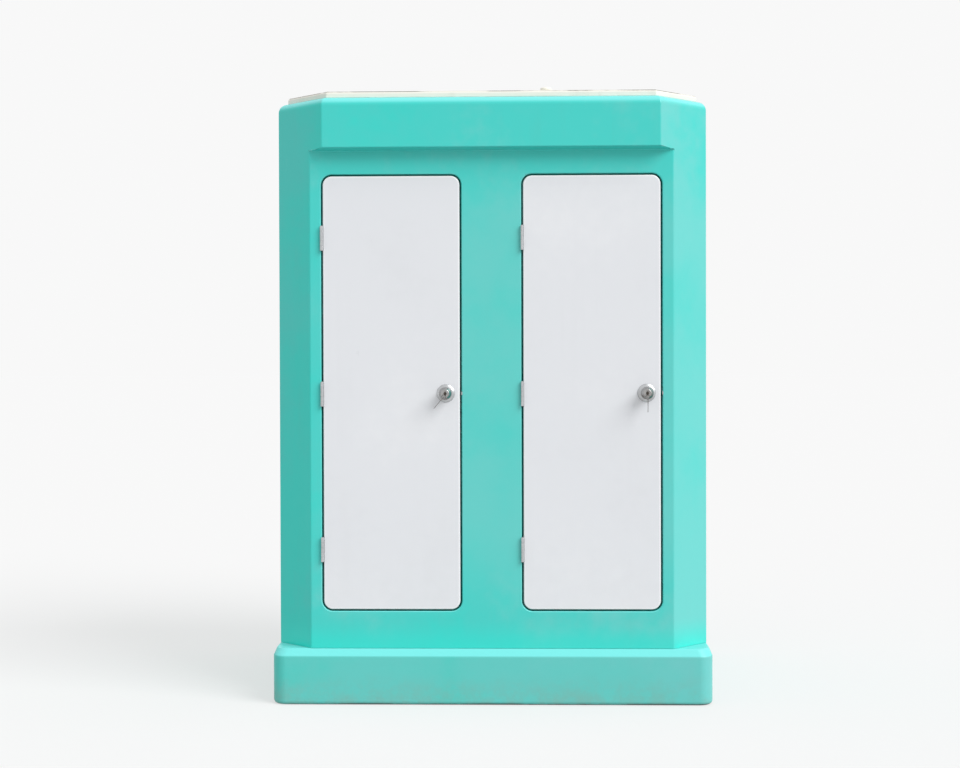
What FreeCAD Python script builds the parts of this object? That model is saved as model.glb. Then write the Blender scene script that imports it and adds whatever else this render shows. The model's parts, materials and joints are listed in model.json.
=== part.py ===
import FreeCAD, Part
import math
import os

# Twin portable toilet cabin. Millimetres. X to the right seen from the front, Y to the back, Z up.
# The origin is on the ground, in the middle of the plinth. Left and right are the viewer's.

Vector = FreeCAD.Vector
AXIS_X = Vector(1, 0, 0)
AXIS_Y = Vector(0, 1, 0)
AXIS_Z = Vector(0, 0, 1)
SIDES = {"left": -1, "right": 1}

# Clearances, and how far a cutting solid runs past the face that it opens
running_clearance = 0.05
loose_clearance = 0.3
bore_clearance = 0.2
pipe_clearance = 0.5
seat_gap = 0.3
over = 1.0
same_level = 1e-3

# Plinth
plinth_width = 1870.0
plinth_depth = 1350.0
plinth_face_height = 206.0
plinth_height = 238.0
plinth_corner_radius = 60.0
plinth_foot_round = 18.0
plinth_wall = 8.0
plinth_floor = 8.0
plinth_rim = 40.0

# Shell
front_ledge = 22.0
side_ledge = 12.5
rear_ledge = 12.5
corner_cut = 152.5
rear_corner_radius = 60.0
least_corner = 10.0
edge_round = 12.0
least_round = 2.0
shell_wall = 6.0
shell_flange = 34.0
shell_height = 2570.0
shoulder_radius = 38.0
header_projection = 58.0
header_height = 221.0
header_underside_rise = 7.0
header_lap = 60.0
roof_rim = 75.0
front_shell_depth = 323.0
rear_panel_depth = 162.5

# Roof cover
roof_cover_inset = 40.0
roof_cover_height = 28.0
roof_cover_wall = 6.0
roof_cover_flange = 15.0
roof_cover_radius = 12.0

# Levels inside
floor_level = 400.0
floor_thickness = 20.0
ceiling_drop = 290.0
ceiling_thickness = 20.0
partition_thickness = 30.0

# Doors
centre_post = 253.0
outer_margin = 47.5
lintel_height = 108.0
door_sill = 4.0
door_thickness = 40.0
door_corner_radius = 38.0
door_edge_round = 5.0
door_gap = 8.0
frame_width = 25.0
frame_stop = 18.0
frame_stop_thickness = 6.0
seal_inset = 7.0
seal_width = 9.0
seal_thickness = 3.7

# Door hinges
hinge_height = 103.0
hinge_knuckles = 5
hinge_knuckle_gap = 0.4
hinge_knuckle_radius = 7.5
hinge_pin_radius = 4.0
hinge_pin_head = 5.5
hinge_pin_head_height = 2.0
hinge_leaf_thickness = 2.5
hinge_leaf_depth = 32.0
hinge_leaf_setback = 0.2
hinge_proud = 8.0
hinge_bottom_margin = 254.0
hinge_top_margin = 263.0

# Door lock
lock_height = 917.0
lock_backset = 60.0
lock_bore_radius = 27.0
chassis_radius = 26.5
chassis_wall = 4.0
rose_radius = 39.0
rose_thickness = 9.0
rose_face_radius = 19.5
rose_crown_radius = 31.0
rose_crown = 6.75
rose_edge = 2.5
knob_shank_radius = 11.0
knob_shank_length = 17.0
knob_waist_radius = 14.85
knob_neck = 22.0
knob_radius = 27.0
knob_swell_radius = 24.3
knob_swell = 29.0
knob_widest = 38.0
knob_fall_radius = 25.9
knob_fall = 47.0
knob_brow_radius = 21.6
knob_brow = 54.0
knob_length = 62.0
knob_face_radius = 15.0
knob_rim_radius = 17.0
knob_rim = 61.0
knob_round = 6.0
spindle_side = 10.0
plug_radius = 6.5
plug_length = 24.0
plug_proud = 0.5
button_radius = 5.0
button_depth = 17.5
button_stand = 1.0
button_grip_length = 8.0
button_grip_height = 18.0
button_grip_thickness = 4.4
latch_tube_radius = 11.8
latch_bolt_radius = 6.8
latch_travel = 14.0
latch_setback = 0.5
latch_nose_start = 0.4
latch_nose_length = 1.3
latch_plate_height = 57.0
latch_plate_width = 25.0
latch_plate_thickness = 2.5
strike_height = 45.0
strike_thickness = 1.5
strike_lip = 2.5
strike_lip_share = 0.3
strike_behind = 15.0
strike_before = 10.0
strike_hole_width = 18.0
strike_hole_height = 22.0
pocket_width = 22.0
pocket_height = 28.0
pocket_spare = 4.0
strike_box_height = 70.0
key_bow_radius = 11.0
key_bow_overlap = 8.0
key_thickness = 1.8
key_neck_length = 12.0
key_neck_width = 9.0
key_blade_width = 6.5
key_blade_length = 22.0
key_stand = 0.7
key_slot_play = 0.1
key_hole_edge = 2.0
key_hole_bevel = 0.6
key_hole_back = 2.3
key_ring_radius = 9.0
key_ring_wire = 0.7
key_hole_radius = 3.5
key_ring_play = 0.97
spare_key_length = 46.0
spare_key_hole_radius = 2.4
spare_key_tilt = {"left": 40.0, "right": 0.0}

# Waste tank and water tank
waste_tank_inset = 57.0
waste_tank_corner = 40.0
tank_wall = 8.0
water_tank_wall = 6.0
water_tank_side_gap = 116.5
water_tank_front_gap = 107.0
water_tank_rear_gap = 156.5
water_tank_top_gap = 20.0
water_tank_corner = 20.0

# Fill neck and its lid
neck_x = 237.0
neck_setback = 240.0
neck_radius = 160.0
neck_rise = 20.0
neck_wall = 6.0
lid_skirt_gap = 8.0
lid_skirt_drop = 8.0
lid_plate = 6.0
lid_wall = 4.0
lid_edge = 2.0
lid_dome = 12.0
lid_dome_radius = 95.0
lid_dome_shoulder = 9.6
lid_knob_radius = 25.0
lid_knob_foot_radius = 13.75
lid_knob_waist_radius = 12.5
lid_knob_disc = 12.0
lid_knob_edge = 4.0
lid_knob_height = 31.0
lid_knob_sink = 3.6
lid_hinge_back = 200.0
lid_hinge_rise = 34.0
lid_ear_width = 8.0
lid_ear_foot_gap = 4.0
lid_ear_arm_gap = 2.0
lid_tongue_width = 40.0
lid_tongue_lap = 20.0
lid_tongue_drop = 3.0
lid_boss_radius = 8.0
lid_pin_radius = 4.0

# Vent pipe
vent_side_gap = 101.5
vent_rear_gap = 111.5
vent_radius = 25.0
vent_wall = 3.0
vent_rise = 85.0
vent_tank_lap = 6.0
vent_slot_height = 18.0
vent_slot_width = 12.0
vent_slot_drop = 8.0
cowl_radius = 38.0
cowl_skirt_bottom = 26.0
cowl_skirt_height = 6.0
cowl_skirt_wall = 3.0
cowl_seat = 4.0
cowl_shoulder_radius = 31.0
cowl_shoulder = 5.0
cowl_crown_radius = 15.2
cowl_crown = 12.0
cowl_peak = 14.0

# Toilet
toilet_wall_gap = 11.5
bowl_length = 615.0
bowl_width = 360.0
bowl_height = 400.0
bowl_rim = 42.0
bowl_deck = 220.0
bowl_front_share = 0.94
bowl_back_corner = 40.0
bowl_foot_width = 232.0
bowl_foot_front = 105.0
bowl_foot_back = 55.0
bowl_waist_width = 212.0
bowl_waist_front = 118.0
bowl_waist_back = 60.0
bowl_waist_level = 112.0
bowl_belly_width = 262.0
bowl_belly_front = 78.0
bowl_belly_back = 30.0
bowl_belly_level = 232.0
bowl_shoulder_width = 346.0
bowl_shoulder_front = 10.0
bowl_shoulder_drop = 46.0
bowl_rim_height = 30.0
hollow_floor_level = 140.0
hollow_low_width = 193.0
hollow_low_front = 90.0
hollow_low_back = 45.0
hollow_low_level = 220.0
hollow_low_corner = 70.0
hollow_high_width = 265.0
hollow_high_front = 14.0
hollow_high_back = 6.0
hollow_high_drop = 60.0
hollow_corner = 90.0
outlet_radius = 45.0
outlet_share = 0.97
outlet_back = 345.0
outlet_wall = 5.0
outlet_drop = 30.0
outlet_rise = 160.0
seat_thickness = 22.0
seat_overhang = 4.0
seat_side_overhang = 3.0
seat_rim = 62.0
seat_rear_rim = 58.0
seat_back_inset = 200.0
seat_back_corner = 60.0
seat_hole_share = 0.9
seat_hole_corner = 80.0
seat_round = 7.0
lid_thickness = 14.0
lid_side_overhang = 4.0
lid_back_overhang = 8.0
lid_round = 6.0
lid_lug_drop = 4.0
lid_lug_lap = 7.0
seat_lug_lap = 10.0
seat_axis_inset = 183.0
seat_axis_rise = 15.0
seat_rod_radius = 6.0
seat_lug_radius = 11.0
seat_lug_width = 16.0
seat_lug_foot = 9.0
lid_lug_x = 49.0
post_x = 75.0
post_width = 26.0
seat_lug_x = 100.0
lid_open_angle = 95.0

# Cistern
cistern_width = 380.0
cistern_depth = 123.0
cistern_setback = 2.0
cistern_height = 330.0
cistern_wall = 8.0
cistern_corner = 25.0
cistern_lid_height = 20.0
cistern_lid_overhang = 5.0
cistern_lid_round = 6.0
flush_button_radius = 28.0
flush_button_proud = 8.0
flush_button_round = 2.5
flush_collar_radius = 32.0
flush_collar_height = 5.0
flush_pocket_radius = 34.0
flush_pocket_depth = 11.0

# Basin
basin_projection = 290.0
basin_length = 350.0
basin_front_gap = 342.0
basin_height = 810.0
basin_depth = 130.0
basin_rim = 22.0
basin_rim_height = 40.0
basin_foot_inset = 75.0
basin_deck = 66.0
basin_bowl_depth = 105.0
basin_corner = 60.0
basin_wall_corner = 1.0
hollow_foot_x = 58.0
hollow_foot_y = 72.0
hollow_foot_corner = 28.0
hollow_waist_x = 12.0
hollow_waist_y = 16.0
hollow_waist_rise = 40.0
hollow_waist_corner = 46.0
hollow_rim_corner = 52.0
basin_drain_radius = 18.0
tap_inset = 26.5
tap_radius = 19.0
tap_base_radius = 25.0
tap_base_height = 6.0
tap_height = 78.0
tap_spout_length = 115.0
tap_spout_radius = 10.0
tap_spout_drop = 18.0
tap_nozzle_length = 20.0
tap_nozzle_wall = 3.0
tap_tail_radius = 9.0
tap_tail_length = 62.0
tap_lever_height = 14.0
tap_lever_length = 72.0
tap_lever_width = 14.0
tap_lever_inset = 3.0
tap_hub_round = 4.0

# Pipes
drain_pipe_radius = 16.0
drain_pipe_wall = 3.0
drain_nut_radius = 24.0
drain_nut_height = 22.0
drain_cup_radius = 34.0
drain_cup_height = 95.0
drain_cup_drop = 340.0
supply_radius = 9.0
supply_elbow = 13.0
supply_side_gap = 196.5
supply_rear_gap = 176.5
supply_rise = 200.0
inlet_inset = 200.0
inlet_rise = 180.0
inlet_radius = 13.5
inlet_wall = 3.0
inlet_proud = 45.0
inlet_collar_radius = 20.0
inlet_collar = 8.0

# Drain valve
outlet_pipe_radius = 45.0
outlet_pipe_wall = 4.0
outlet_level = 76.0
valve_body_radius = 64.0
valve_body_length = 112.0
valve_body_round = 6.0
valve_standoff = 14.0
valve_ball_radius = 52.0
valve_bore_radius = 38.0
valve_stem_radius = 8.0
valve_stem_rise = 22.0
valve_stem_sink = 4.0
valve_neck_radius = 17.0
valve_neck_rise = 8.0
valve_hub_radius = 16.0
valve_hub_height = 12.0
valve_hub_drop = 8.0
valve_lever_length = 150.0
valve_lever_width = 24.0
valve_lever_thickness = 6.0
outlet_spigot_length = 60.0

# Small fittings
mirror_width = 350.0
mirror_height = 500.0
mirror_rise = 210.0
mirror_thickness = 5.0
mirror_corner = 20.0
holder_forward = 120.0
holder_rise = 650.0
holder_reach = 64.0
holder_plate_thickness = 5.0
holder_plate_height = 44.0
holder_plate_margin = 12.0
holder_boss_radius = 12.0
holder_spindle_radius = 19.4
holder_arm = 5.0
paper_core_radius = 19.7
paper_radius = 55.0
paper_width = 100.0
hook_front_gap = 227.0
hook_drop = 280.0
hook_plate_width = 36.0
hook_plate_height = 70.0
hook_plate_thickness = 4.0
hook_plate_corner = 10.0
hook_wire = 5.0
hook_upper = ((0.0, 10.0), (51.0, 30.0))
hook_lower = ((0.0, -15.0), (22.0, -24.0), (30.0, -8.0))
hook_upper_tip = 8.0
hook_lower_tip = 7.0
light_radius = 105.0
light_rim_radius = 97.0
light_height = 46.0
light_base = 16.0
light_step = 18.5
light_shoulder_radius = 93.0
light_shoulder = 27.5
light_brow_radius = 69.0
light_brow = 41.5
light_face_radius = 31.5
louvre_drop = 160.0
louvre_width = 340.0
louvre_height = 160.0
louvre_flange = 20.0
louvre_flange_thickness = 5.0
louvre_sleeve = 10.0
louvre_rim = 8.0
louvre_slats = 6
louvre_slat_thickness = 4.0
louvre_slat_depth = 28.0
louvre_slat_tilt = 35.0
louvre_slat_setback = 4.5
bolt_radius = 5.0
bolt_head_radius = 9.2
bolt_head_height = 6.5
bolt_end = 3.0
bolt_inset = 24.0
bolt_end_margin = 254.5
bolt_row_margin = 80.0
bolts_in_row = 3

# Worked out from the above
plinth_x = plinth_width / 2
plinth_front = -plinth_depth / 2
plinth_back = plinth_depth / 2
body_x = plinth_x - side_ledge
wall_front = plinth_front + front_ledge
wall_back = plinth_back - rear_ledge
header_front = wall_front - header_projection
header_bottom = shell_height - header_height
front_half = body_x - corner_cut
chamfer_sum = front_half - wall_front
inner_x = body_x - shell_wall
inner_front = wall_front + shell_wall
inner_back = wall_back - shell_wall
front_shell_split = wall_front + front_shell_depth
rear_shell_split = wall_back - rear_panel_depth
total_height = shell_height + roof_cover_height
ceiling_level = shell_height - ceiling_drop
door_bottom = floor_level + door_sill
door_width = front_half - centre_post / 2 - outer_margin - 2 * door_gap
door_height = header_bottom - lintel_height - door_bottom
door_pitch = door_width + 2 * door_gap + centre_post
opening_width = door_width + 2 * door_gap
opening_height = door_height + 2 * door_gap
opening_radius = door_corner_radius + door_gap
opening_bottom = door_bottom - door_gap
door_front = wall_front
door_back = door_front + door_thickness
latch_y = (door_front + door_back) / 2
lock_level = door_bottom + lock_height
seal_front = door_back + loose_clearance
stop_front = seal_front + seal_thickness
frame_back = stop_front + frame_stop_thickness
hinge_axis_y = door_front - hinge_proud
lowest_hinge = door_bottom + hinge_bottom_margin
highest_hinge = door_bottom + door_height - hinge_top_margin
hinge_levels = (lowest_hinge, (lowest_hinge + highest_hinge) / 2, highest_hinge)
key_bow_reach = key_stand + key_bow_radius + key_neck_length - key_bow_overlap
key_hole_y = door_front - knob_length - key_bow_reach - key_hole_back
key_hole_z = lock_level - key_bow_radius + key_hole_radius + key_hole_edge
water_tank_half = inner_x - water_tank_side_gap
water_tank_front = inner_front + water_tank_front_gap
water_tank_rear = inner_back - water_tank_rear_gap
water_tank_bottom = ceiling_level + ceiling_thickness
water_tank_top = shell_height - shell_wall - water_tank_top_gap
waste_tank_top = floor_level - floor_thickness
neck_y = water_tank_front + neck_setback
neck_top = total_height + neck_rise
lid_axis_y = neck_y + lid_hinge_back
lid_axis_z = total_height + lid_hinge_rise
vent_x = inner_x - vent_side_gap
vent_y = inner_back - vent_rear_gap
toilet_x = (partition_thickness / 2 + inner_x) / 2
bowl_back = inner_back - toilet_wall_gap
bowl_front = bowl_back - bowl_length
bowl_rim_back = bowl_back - bowl_deck
outlet_y = bowl_back - outlet_back
rim_level = floor_level + bowl_height
seat_back = bowl_back - seat_back_inset
seat_axis_y = bowl_back - seat_axis_inset
seat_axis_z = rim_level + seat_axis_rise
cistern_back = bowl_back - cistern_setback
cistern_front = cistern_back - cistern_depth
cistern_middle = (cistern_front + cistern_back) / 2
cistern_top = rim_level + cistern_height
basin_y = inner_front + basin_front_gap
basin_level = floor_level + basin_height
basin_mid_x = inner_x - basin_projection / 2 - basin_deck / 4
tap_x = inner_x - tap_inset
tap_top = basin_level + tap_height
drain_cup_level = basin_level - drain_cup_drop
supply_x = inner_x - supply_side_gap
supply_y = inner_back - supply_rear_gap
supply_level = rim_level + supply_rise
inlet_x = inlet_inset - water_tank_half
inlet_level = water_tank_bottom + inlet_rise
valve_y = plinth_back + valve_standoff + valve_body_length / 2
spigot_end = valve_y + valve_body_length / 2 + outlet_spigot_length
mirror_bottom = basin_level + mirror_rise
holder_x = partition_thickness / 2 + holder_reach
holder_y = bowl_front + holder_forward
holder_level = floor_level + holder_rise
hook_y = inner_front + hook_front_gap
hook_level = ceiling_level - hook_drop
light_y = (inner_front + inner_back) / 2
louvre_level = ceiling_level - louvre_drop


def block(x0, x1, y0, y1, z0, z1):
    corner = Vector(min(x0, x1), min(y0, y1), min(z0, z1))
    return Part.makeBox(abs(x1 - x0), abs(y1 - y0), abs(z1 - z0), corner)


def rod(radius, start, axis, length):
    return Part.makeCylinder(radius, length, Vector(*start), axis)


def tube(radius, wall, start, axis, length):
    return rod(radius, start, axis, length).cut(rod(radius - wall, start, axis, length))


def run_of_pipe(radius, points):
    pipe = Part.makeSphere(radius, Vector(*points[0]))
    for start, end in zip(points, points[1:]):
        step = Vector(*end) - Vector(*start)
        pipe = pipe.fuse([rod(radius, start, step, step.Length), Part.makeSphere(radius, Vector(*end))])
    return pipe


def join(shapes):
    return shapes[0].fuse(shapes[1:]).removeSplitter() if len(shapes) > 1 else shapes[0]


def closed_wire(points, radii):
    """A closed wire through 3-D points in one plane, each corner rounded by its radius."""
    corners = []
    for index, (point, radius) in enumerate(zip(points, radii)):
        here = Vector(*point)
        to_last = Vector(*points[index - 1]) - here
        to_next = Vector(*points[(index + 1) % len(points)]) - here
        to_last.normalize()
        to_next.normalize()
        if radius <= 0:
            corners.append((here, None, here))
            continue
        half_angle = to_last.getAngle(to_next) / 2
        tangent = radius / math.tan(half_angle)
        bisector = to_last + to_next
        bisector.normalize()
        middle = here + bisector * (radius / math.sin(half_angle) - radius)
        corners.append((here + to_last * tangent, middle, here + to_next * tangent))
    edges = []
    for index, (start, middle, end) in enumerate(corners):
        if middle is not None:
            edges.append(Part.Arc(start, middle, end).toShape())
        following = corners[(index + 1) % len(corners)][0]
        if (following - end).Length > same_level:
            edges.append(Part.LineSegment(end, following).toShape())
    return Part.Wire(edges)


def plan_wire(points, radii, level):
    return closed_wire([(x, y, level) for x, y in points], radii)


def plan_solid(points, radii, z0, z1):
    return Part.Face(plan_wire(points, radii, z0)).extrude(Vector(0, 0, z1 - z0))


def rectangle(x0, x1, y0, y1):
    return [(x0, y0), (x1, y0), (x1, y1), (x0, y1)]


def front_panel(mid_x, width, bottom, height, radius, y0, y1):
    """An upright rounded rectangle that faces the front."""
    x0, x1 = mid_x - width / 2, mid_x + width / 2
    z0, z1 = bottom, bottom + height
    wire = closed_wire([(x0, y0, z0), (x1, y0, z0), (x1, y0, z1), (x0, y0, z1)], [radius] * 4)
    return Part.Face(wire).extrude(Vector(0, y1 - y0, 0))


def spun(profile, centre, axis):
    """A solid of revolution from (radius, distance along the axis) pairs."""
    side = AXIS_X if abs(axis.dot(AXIS_X)) < 0.5 else AXIS_Z
    base = Vector(*centre)
    points = [base + side * r + axis * d for r, d in profile]
    face = Part.Face(Part.makePolygon(points + [points[0]]))
    return face.revolve(base, axis, 360)


def mirrored(shape):
    return shape.mirror(Vector(0, 0, 0), AXIS_X)


def both_sides(shape):
    return [mirrored(shape), shape]


def body_points(inset, front):
    """The cabin's plan: square at the back, cut at 45 degrees at both front corners."""
    side = body_x - inset
    diagonal = chamfer_sum - inset * math.sqrt(2)
    face = front + inset
    half = diagonal + face
    return [
        (-side, wall_back - inset),
        (-side, diagonal * -1 + side),
        (-half, face),
        (half, face),
        (side, diagonal * -1 + side),
        (side, wall_back - inset),
    ]


def body_solid(inset, front, z0, z1, edge=0):
    rear = max(rear_corner_radius - inset, least_corner)
    return plan_solid(body_points(inset, front), [rear, edge, edge, edge, edge, rear], z0, z1)


def edges_at(shape, level):
    """The edges that lie flat at one level."""
    return [e for e in shape.Edges if all(abs(v.Z - level) < same_level for v in e.Vertexes)]


def door_middle(side):
    return SIDES[side] * door_pitch / 2


def hinge_axis_x(side):
    return door_middle(side) - door_width / 2 - door_gap / 2


def knob_x(side):
    return door_middle(side) + door_width / 2 - lock_backset


# Plinth and tank


def plinth_block(inset, z0, z1):
    """The plinth's block with its sloped ledge, drawn in by the wall all round."""
    radius = plinth_corner_radius - inset
    foot = rectangle(-plinth_x + inset, plinth_x - inset, plinth_front + inset, plinth_back - inset)
    head = rectangle(-body_x + inset, body_x - inset, wall_front + inset, wall_back - inset)
    lower = plan_solid(foot, [radius] * 4, z0, plinth_face_height)
    wires = [plan_wire(foot, [radius] * 4, plinth_face_height), plan_wire(head, [radius] * 4, z1)]
    return lower.fuse(Part.makeLoft(wires, True, True)).removeSplitter()


def base_plinth():
    outer = plinth_block(0, 0, plinth_height)
    outer = outer.makeFillet(plinth_foot_round, edges_at(outer, 0))
    inner = plinth_block(plinth_wall, plinth_floor, plinth_height - plinth_wall)
    mouth = body_solid(plinth_rim, wall_front, plinth_height - 2 * plinth_wall, plinth_height + over)
    pipe = rod(outlet_pipe_radius + pipe_clearance, (0, wall_back - plinth_rim, outlet_level), AXIS_Y,
               2 * plinth_rim)
    holes = [rod(bolt_radius + pipe_clearance, (x, y, plinth_face_height), AXIS_Z, plinth_height)
             for x, y in bolt_places()]
    return outer.cut([inner, mouth, pipe] + holes)


def waste_tank():
    """The open tub on the plinth's floor, and the cover that is welded to it."""
    def tank(inset, z0, z1, radius):
        points = body_points(inset, wall_front)
        return plan_solid(points, [radius] * 6, z0, z1)

    seam = waste_tank_top - tank_wall
    tub = tank(waste_tank_inset, plinth_floor, seam, waste_tank_corner)
    inner = tank(waste_tank_inset + tank_wall, plinth_floor + tank_wall, seam + over,
                 waste_tank_corner - tank_wall)
    rear = wall_back - waste_tank_inset
    outlet = rod(outlet_pipe_radius, (0, rear - 2 * tank_wall, outlet_level), AXIS_Y, 3 * tank_wall)
    cover = tank(waste_tank_inset, seam, waste_tank_top, waste_tank_corner)
    return [tub.cut([inner, outlet]), cover.cut(pipe_holes(seam - tank_wall, 3 * tank_wall))]


def pipe_holes(level, length):
    """Holes for the toilet outlets, the basin drains and the vent pipe."""
    holes = [rod(vent_radius + pipe_clearance, (vent_x, vent_y, level), AXIS_Z, length)]
    for sign in SIDES.values():
        outlet = outlet_radius + outlet_wall + pipe_clearance
        holes.append(rod(outlet, (sign * toilet_x, outlet_y, level), AXIS_Z, length))
        drain = drain_pipe_radius + pipe_clearance
        holes.append(rod(drain, (sign * basin_mid_x, basin_y, level), AXIS_Z, length))
    return holes


def floor_deck():
    deck = body_solid(shell_wall, wall_front, waste_tank_top, floor_level, edge_round - shell_wall)
    cuts = pipe_holes(waste_tank_top - over, floor_thickness + 2 * over)
    for side in SIDES:
        middle = door_middle(side)
        half = opening_width / 2 + frame_width + over
        cuts.append(block(middle - half, middle + half, inner_front - over, frame_back + over,
                          waste_tank_top - over, floor_level + over))
    return deck.cut(cuts)


# Shell


def shell_solid(inset):
    """The moulded body with its header, drawn in by the wall all round."""
    top = shell_height - inset
    lower = body_solid(inset, wall_front, plinth_height + inset, header_bottom + header_lap)
    upper = body_solid(inset, header_front, header_bottom + inset, top)
    root_z = header_bottom + inset
    root_y = wall_front + inset
    tip_y = header_front - header_lap
    tip_z = root_z + header_underside_rise * (root_y - tip_y) / header_projection
    low_z = root_z - header_lap
    below = [(root_y, root_z), (tip_y, tip_z), (tip_y, low_z), (root_y, low_z)]
    wedge_points = [Vector(-plinth_width, y, z) for y, z in below + below[:1]]
    wedge = Part.Face(Part.makePolygon(wedge_points)).extrude(Vector(2 * plinth_width, 0, 0))
    body = lower.fuse(upper.cut(wedge)).removeSplitter()
    body = body.makeFillet(shoulder_radius - inset, edges_at(body, top))
    return body.makeFillet(max(edge_round - inset, least_round), upright_edges(body))


def upright_edges(body):
    """The long upright edges beside the cut corners."""
    edges = []
    for edge in body.Edges:
        box = edge.BoundBox
        thin = box.XLength < same_level and box.YLength < same_level
        if thin and box.ZLength > header_lap and box.Center.y < 0:
            edges.append(edge)
    return edges


def whole_shell():
    outer = shell_solid(0)
    inner = shell_solid(shell_wall)
    foot = body_solid(shell_wall + shell_flange, wall_front, plinth_height - over,
                      plinth_height + 2 * shell_wall)
    mouth = body_solid(roof_rim, header_front, shell_height - 2 * shell_wall, shell_height + over)
    cuts = [inner, foot, mouth]
    for side in SIDES:
        cuts.append(front_panel(door_middle(side), opening_width, opening_bottom, opening_height,
                                opening_radius, wall_front - over, inner_front + over))
        x = SIDES[side] * toilet_x
        half_w = louvre_width / 2 + pipe_clearance
        half_h = louvre_height / 2 + pipe_clearance
        cuts.append(block(x - half_w, x + half_w, inner_back - over, wall_back + over,
                          louvre_level - half_h, louvre_level + half_h))
    cuts.append(rod(inlet_radius + pipe_clearance, (inlet_x, inner_back - over, inlet_level), AXIS_Y,
                    shell_wall + 2 * over))
    for x, y in bolt_places():
        cuts.append(rod(bolt_radius + pipe_clearance, (x, y, plinth_height - over), AXIS_Z,
                        shell_wall + 2 * over))
    return outer.cut(cuts)


def shell_panels():
    """The shell's four mouldings, which meet edge to edge."""
    shell = whole_shell()
    far = plinth_width
    high = shell_height + over
    front = shell.common(block(-far, far, -far, front_shell_split, 0, high))
    rear = shell.common(block(-far, far, rear_shell_split, far, 0, high))
    left = shell.common(block(-far, 0, front_shell_split, rear_shell_split, 0, high))
    right = shell.common(block(0, far, front_shell_split, rear_shell_split, 0, high))
    return {
        "front_shell": front,
        "rear_panel": rear,
        "left_side_panel": left,
        "right_side_panel": right,
    }


def bolt_places():
    side = body_x - bolt_inset
    reach = front_half - bolt_end_margin
    across = spread(-reach, reach)
    along = spread(front_shell_split + bolt_row_margin, rear_shell_split - bolt_row_margin)
    places = [(x, wall_front + bolt_inset) for x in across]
    places += [(x, wall_back - bolt_inset) for x in across]
    places += [(sign * side, y) for sign in SIDES.values() for y in along]
    return places


def spread(first, last):
    """The places of one row's bolts, evenly spaced."""
    step = (last - first) / (bolts_in_row - 1)
    return [first + step * index for index in range(bolts_in_row)]


def shell_bolts():
    """Hexagon bolts through the shell's foot flange and the plinth's rim, each with its nut."""
    solids = []
    top = plinth_height + shell_wall
    under = plinth_height - plinth_wall
    for x, y in bolt_places():
        foot = under - bolt_head_height - bolt_end
        solids.append(join([rod(bolt_radius, (x, y, foot), AXIS_Z, top - foot), hexagon(x, y, top)]))
        nut = hexagon(x, y, under - bolt_head_height)
        solids.append(nut.cut(rod(bolt_radius, (x, y, foot), AXIS_Z, 2 * bolt_head_height)))
    return solids


def hexagon(x, y, level):
    corners = [Vector(x + bolt_head_radius * math.cos(math.radians(60 * k)),
                      y + bolt_head_radius * math.sin(math.radians(60 * k)), level) for k in range(7)]
    return Part.Face(Part.makePolygon(corners)).extrude(Vector(0, 0, bolt_head_height))


def roof_cover():
    """A shallow lid over the shell's mouth, open for the fill neck and the vent pipe."""
    outer = body_solid(roof_cover_inset, header_front, shell_height, total_height)
    outer = outer.makeFillet(roof_cover_radius, edges_at(outer, total_height))
    inset = roof_cover_inset + roof_cover_flange
    inner = body_solid(inset, header_front, shell_height - over, total_height - roof_cover_wall)
    through = 2 * roof_cover_height
    neck = rod(neck_radius + pipe_clearance, (neck_x, neck_y, shell_height), AXIS_Z, through)
    vent = rod(vent_radius + pipe_clearance, (vent_x, vent_y, shell_height), AXIS_Z, through)
    return outer.cut([inner, neck, vent])


def partition_wall():
    half = partition_thickness / 2
    return block(-half, half, inner_front, inner_back, floor_level, ceiling_level)


def ceiling_panel():
    panel = body_solid(shell_wall, wall_front, ceiling_level, water_tank_bottom, edge_round - shell_wall)
    low = ceiling_level - over
    through = 2 * ceiling_thickness
    holes = [rod(vent_radius + pipe_clearance, (vent_x, vent_y, low), AXIS_Z, through)]
    for sign in SIDES.values():
        holes.append(rod(supply_radius + pipe_clearance, (sign * supply_x, supply_y, low), AXIS_Z, through))
    return panel.cut(holes)


# Roof tank, lid and vent


def water_tank():
    """The open tub, the cover welded to it, the fill neck and the two ears of the lid's hinge."""
    wall = water_tank_wall

    def tank(inset, z0, z1):
        half = water_tank_half - inset
        points = rectangle(-half, half, water_tank_front + inset, water_tank_rear - inset)
        return plan_solid(points, [water_tank_corner - inset] * 4, z0, z1)

    seam = water_tank_top - wall
    cuts = [tank(wall, water_tank_bottom + wall, seam + over)]
    cuts.append(rod(inlet_radius, (inlet_x, water_tank_rear - 2 * wall, inlet_level), AXIS_Y, 3 * wall))
    for sign in SIDES.values():
        cuts.append(rod(supply_radius, (sign * supply_x, supply_y, water_tank_bottom - over), AXIS_Z,
                        2 * wall))
    mouth = rod(neck_radius - neck_wall, (neck_x, neck_y, seam - over), AXIS_Z, 2 * wall)
    neck = tube(neck_radius, neck_wall, (neck_x, neck_y, water_tank_top), AXIS_Z, neck_top - water_tank_top)
    tub = tank(0, water_tank_bottom, seam).cut(cuts)
    return [tub, tank(0, seam, water_tank_top).cut(mouth), neck] + lid_ears()


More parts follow.
